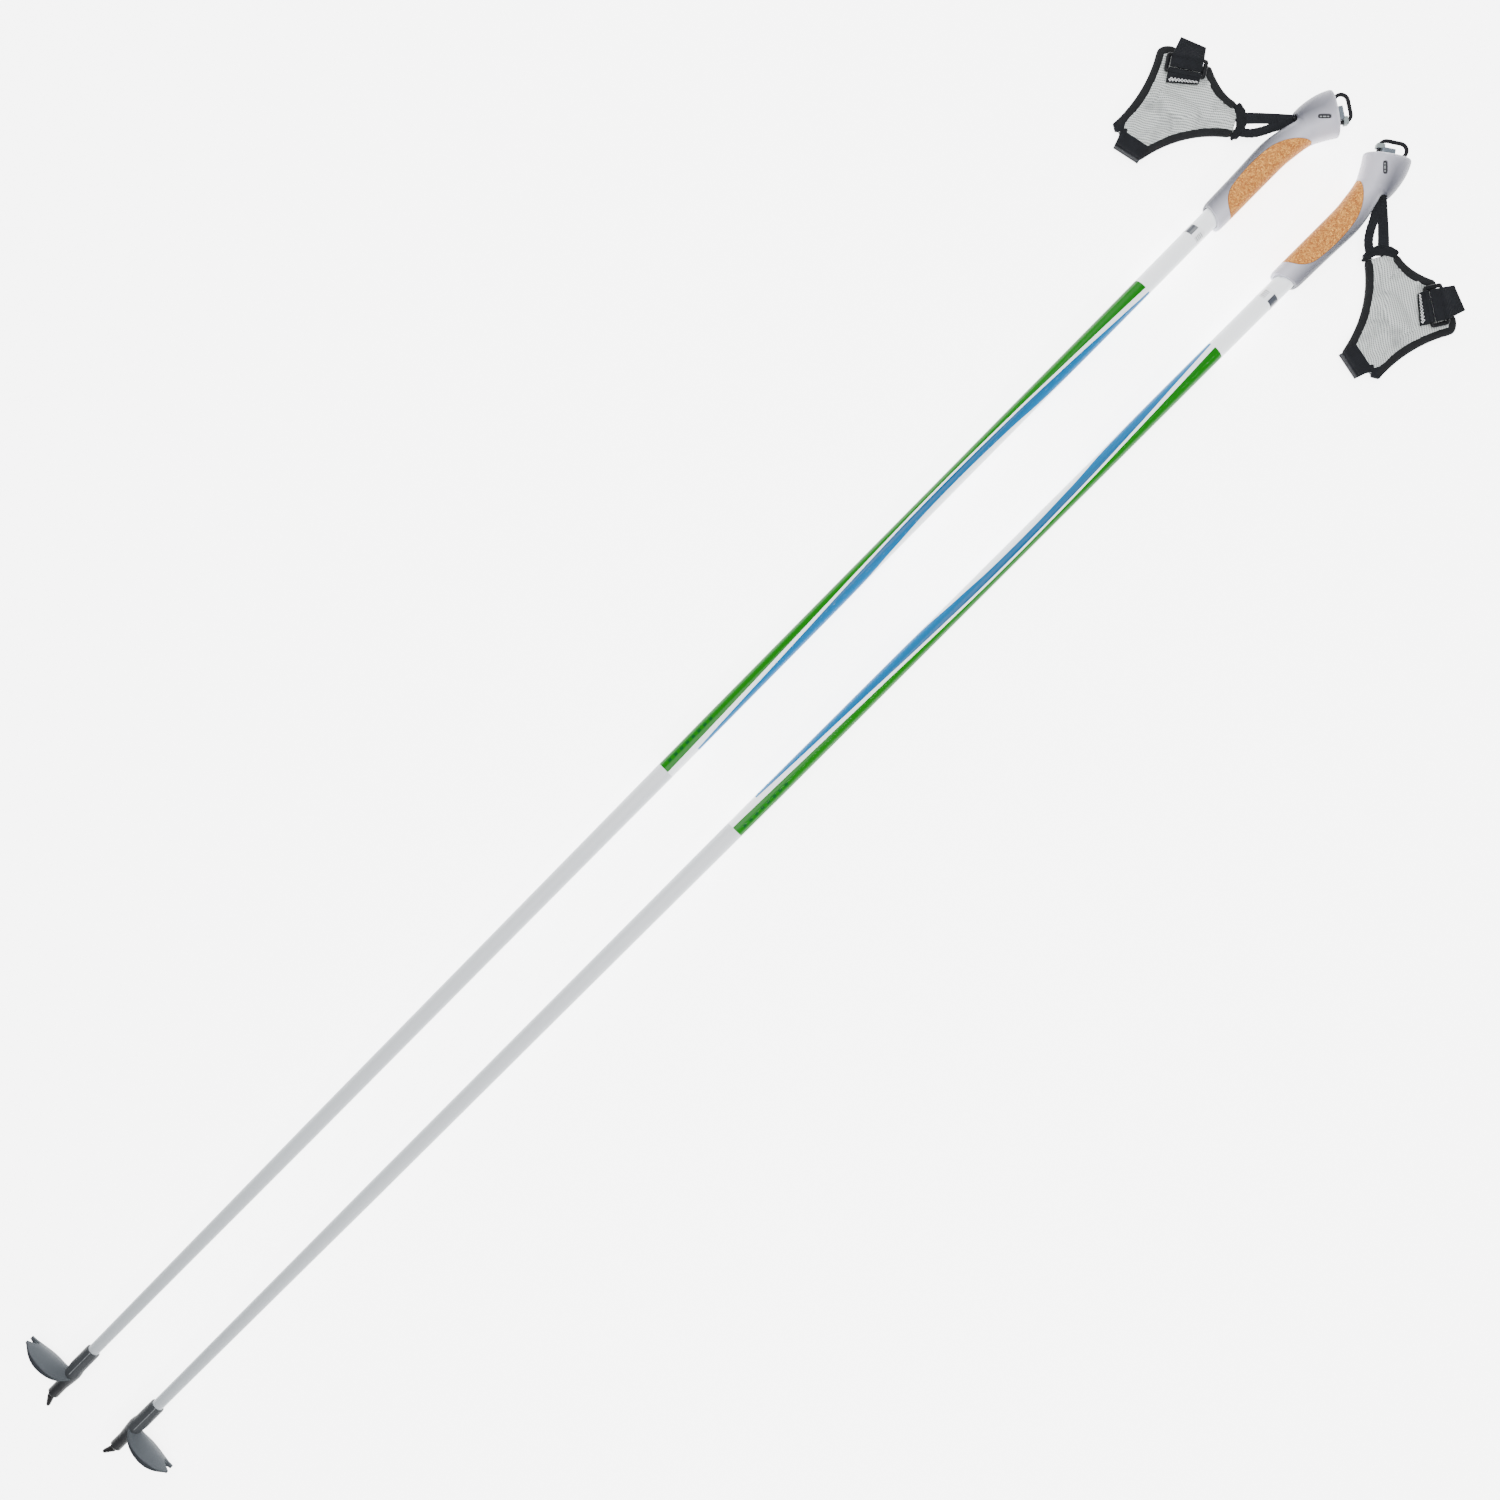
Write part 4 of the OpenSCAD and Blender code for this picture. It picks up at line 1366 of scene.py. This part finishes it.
# %% Wrist band pieces
LOW = FLOOR_W + 0.4 + FOLD_T / 2
HIGH = PANEL_W + 3.9 + FOLD_T / 2
TURN_R = 1.6
fold = (
    [(7.9, LOW)] + around(2.4, LOW + TURN_R, TURN_R, 270, 180, 5)
    + around(2.4, HIGH - TURN_R, TURN_R, 180, 90, 5) + [(8, HIGH), (12.8, HIGH - 0.1)]
)
run = smooth_line([
    (8.1, LOW), (30, LOW), (60, LOW), (84, LOW), (89, LOW + 0.9), (91.5, LOW + 3),
    (93, PANEL_W - 1),
], 5)
fold_shape, run_shape = band_fold(fold), band_fold(run)
patch_outline = [
    (31.8, 102.2), (37.2, 78.2), (46.4, 79.4), (49.4, 104.6), (46, 108.6), (40.6, 105.2),
]
tape_end = [(44.6, 116.4), (40.9, 110.2), (45.4, 105.4), (53, 109), (53, 115.6)]
patch_shape = joined([
    round_edges(slab(patch_outline, PANEL_W - 0.8, HIGH - 0.9), 0.9, 3),
    round_edges(slab(tape_end, TAPE_Z - 1.7, TAPE_Z + 1.9), 0.8, 3),
])
cloth = looks(webbing_finish, "wrist", WRIST)
pair("wrist_fold", fold_shape, cloth, "harness", "wrist_band_end", WRIST)
pair("wrist_patch", patch_shape, cloth, "harness")
pair("palm_band", run_shape, cloth, "harness", "closure_band", WRIST)
print("wrist band faces:", len(fold_shape.faces), len(run_shape.faces))

# %% [markdown]
# ## Basket and spike
#
# The sleeve is glued on the shaft's end. Behind it stands half a basket: two wings that
# meet in a ridge, with a thicker lip along the lower rim and a notch at the outer end. A
# thin web crosses the notch on one side of the ridge. The blade is lofted through stations
# across it, and creases keep its rims crisp under subdivision.

# %% Blade
BLADE_U = -1359
SLEEVE_R = 7.0
NOTCH_V = 37.6
# across, along at the ridge, along at the rim, half width at the rim
blade_stations = [
    (-6.4, -1333.6, -1334, 3.6), (-3, -1333.4, -1335.8, 7.2), (2, -1333.6, -1339.6, 10.6),
    (8, -1334.2, -1341.7, 13.2), (16.5, -1335.4, -1342.2, 15.5), (23, -1336.3, -1342.5, 15.4),
    (29, -1337.1, -1342.6, 14.4), (35, -1337.9, -1342.1, 12), (40, -1338.6, -1341, 9.1),
    (44, -1339, -1339.9, 5.9), (46, -1339.2, -1340, 4.6),
]


def blade_ring(station):
    across, ridge, rim, half = station
    bend = ridge + (rim - ridge) * 0.45
    lip = 1.4 + 1.7 * half / 15.5
    web = lip * 0.62
    upper = [(rim, -half), (bend, -half * 0.55), (ridge, 0), (bend, half * 0.55), (rim, half)]
    lower = [
        (rim - lip, half), (rim - lip * 0.95, half * 0.86), (bend - web, half * 0.5),
        (ridge - web, 0),
        (bend - web, -half * 0.5), (rim - lip * 0.95, -half * 0.86), (rim - lip, -half),
    ]
    return [(u, across, w) for u, w in upper + lower]


def blade_shell():
    bm = loft([blade_ring(s) for s in blade_stations])
    crease = bm.edges.layers.float.new("crease_edge")
    for edge in bm.edges:
        if edge.calc_face_angle(0) > math.radians(50):
            edge[crease] = 0.75
    bm = finer(bm, 2)
    bm = cut(bm, rod((BLADE_U - 1, FERRULE_V, 0), (1, 0, 0), SLEEVE_R, 60))
    notch = slab([(NOTCH_V, 0), (52, 7), (52, -7)], 0, 40)
    across = Matrix(((0, 0, 1, BLADE_U), (1, 0, 0, 0), (0, 1, 0, 0), (0, 0, 0, 1)))
    return cut(bm, moved(notch, across))


def tail_web():
    """A thin web across one half of the notch."""
    outline = [(-1338.4, 37), (-1338.5, 45.9), (-1341, 45.7), (-1341.9, 42), (-1342.2, 37)]
    return round_edges(slab(outline, -4.6, -2.2), 0.3, 2)


blade_shape, web_shape = blade_shell(), tail_web()
print("blade faces:", len(blade_shape.faces))

# %% [markdown]
# The sleeve is turned, so it is a stack of rings about the shaft. Its lower half sits a
# little to the front. A fine seam line runs along each side.


# %% Sleeve
def hoop(u, v, radius, corners=40):
    """Points on a circle round the pole's direction."""
    turns = [math.tau * k / corners for k in range(corners)]
    return [(u, v + radius * math.cos(a), radius * math.sin(a)) for a in turns]


def sleeve_body():
    stations = [
        (0, FERRULE_V, 4.7), (0.6, FERRULE_V, 5.3), (11, FERRULE_V, 5.3), (14, FERRULE_V, 5.7),
        (20, FERRULE_V, 6.5), (25, FERRULE_V, SLEEVE_R), (28, -0.6, SLEEVE_R), (31, 0, 6.8),
        (48.8, 0, 6.7), (49.7, 0, 6.6), (50, 0, 6.3),
    ]
    body = loft([hoop(BLADE_U + u, v, r) for u, v, r in stations])
    body = cut(body, rod((BLADE_U + 14, 0, 0), (1, 0, 0), 5.22, 40))
    body = cut(body, rod((BLADE_U - 1, FERRULE_V, 0), (1, 0, 0), 2.55, 12, 24))
    seams = []
    line = [Vector((BLADE_U + u, 0.4)) for u in (26, 30, 38, 46, 49)]
    heights = (6.9, 6.75, 6.7, 6.65, 6.6)
    for way in (1, -1):
        seam = swept(line, lambda i: oval(0.6, 0.7, 8))
        for vert in seam.verts:
            nearest = min(range(5), key=lambda k: abs(line[k].x - vert.co.x))
            vert.co.z += way * heights[nearest]
        seams.append(seam)
    return joined([body] + seams)


def spike_point():
    stations = [
        (1.2, 2.8), (1.6, 3.1), (3.2, 3.1), (3.8, 2.9), (10.4, 1.8), (11.6, 1.1), (11.9, 0.4),
    ]
    bm = loft([hoop(-u, 0, r, 16) for u, r in stations])
    return moved(bm, turned_frame(BLADE_U, 0, 26))


sleeve_shape, spike_shape = sleeve_body(), spike_point()
print("sleeve and spike faces:", len(sleeve_shape.faces), len(spike_shape.faces))


# %% Basket finishes
def sleeve_finish(side):
    f = Finish("sleeve_plastic", side, Roughness=0.5, Specular_IOR_Level=0.2)
    u, v, _ = f.place.axes()
    # A paler line along the middle of the sleeve, top and bottom, over the moulded seam rib: a
    # painted highlight.
    seam = (1 - v.maths("ABSOLUTE", v - 0.4).over(0.4, 0.2)) * u.over(BLADE_U + 25, 0.5)
    tone = mixed(u.over(BLADE_U + 18, 14), colour(22, 23, 25), colour(42, 45, 48))
    tone = mixed(f.place.noise(0.3, 3) * 0.2, tone, colour(60, 63, 66))
    f.set("Base Color", mixed(seam * 0.5, tone, colour(120, 123, 126)))
    return f.bump(f.place.noise(2.5, 4), 0.06).material


def blade_finish(side):
    f = Finish("basket_plastic", side, Roughness=0.6, Specular_IOR_Level=0.06)
    u, _, _ = f.place.axes()
    rim = f.place.noise(0.1, 2) * 0.25
    tone = mixed(rim, colour(60, 64, 68), colour(50, 53, 57))
    # The outer rim is painted darker than the wings: painted shade of the lip's side face, which
    # turns away from the light.
    lip = 1 - u.over(-1342.1, 0.5)
    f.set("Base Color", mixed(lip, tone, colour(38, 41, 45)))
    return f.bump(f.place.noise(2.2, 4), 0.06).material


carbide_dark = plain_finish(
    "carbide", (12, 12, 13), (26, 26, 28), 4.0, 0.05, Roughness=0.45, Metallic=0.1
)
sleeve_look, blade_look = looks(sleeve_finish), looks(blade_finish)
pair("sleeve_body", sleeve_shape, sleeve_look, "pole", "ferrule_sleeve")
pair("blade_shell", blade_shape, blade_look, "pole", "basket_blade")
pair("blade_tail_web", web_shape, blade_look, "pole")
pair("spike_point", spike_shape, carbide_dark, "pole", "carbide_tip")
print("pieces made:", len(made_pieces))

# %% [markdown]
# ## Floor
#
# The floor is pale and rough, and glows so that it shows almost white. It isn't part of the
# object.

# %% Floor
floor_mesh = bmesh.new()
bmesh.ops.create_grid(floor_mesh, x_segments=1, y_segments=1, size=6)
floor = as_object(floor_mesh, "floor")
floor_finish = bpy.data.materials.new("floor")
floor_finish.use_nodes = True
sockets = floor_finish.node_tree.nodes["Principled BSDF"].inputs
sockets["Base Color"].default_value = (0.9, 0.9, 0.9, 1)
sockets["Roughness"].default_value = 0.9
sockets["Emission Color"].default_value = (1, 1, 1, 1)
sockets["Emission Strength"].default_value = 5.0
floor.data.materials.append(floor_finish)
print("floor at", floor.location.z)
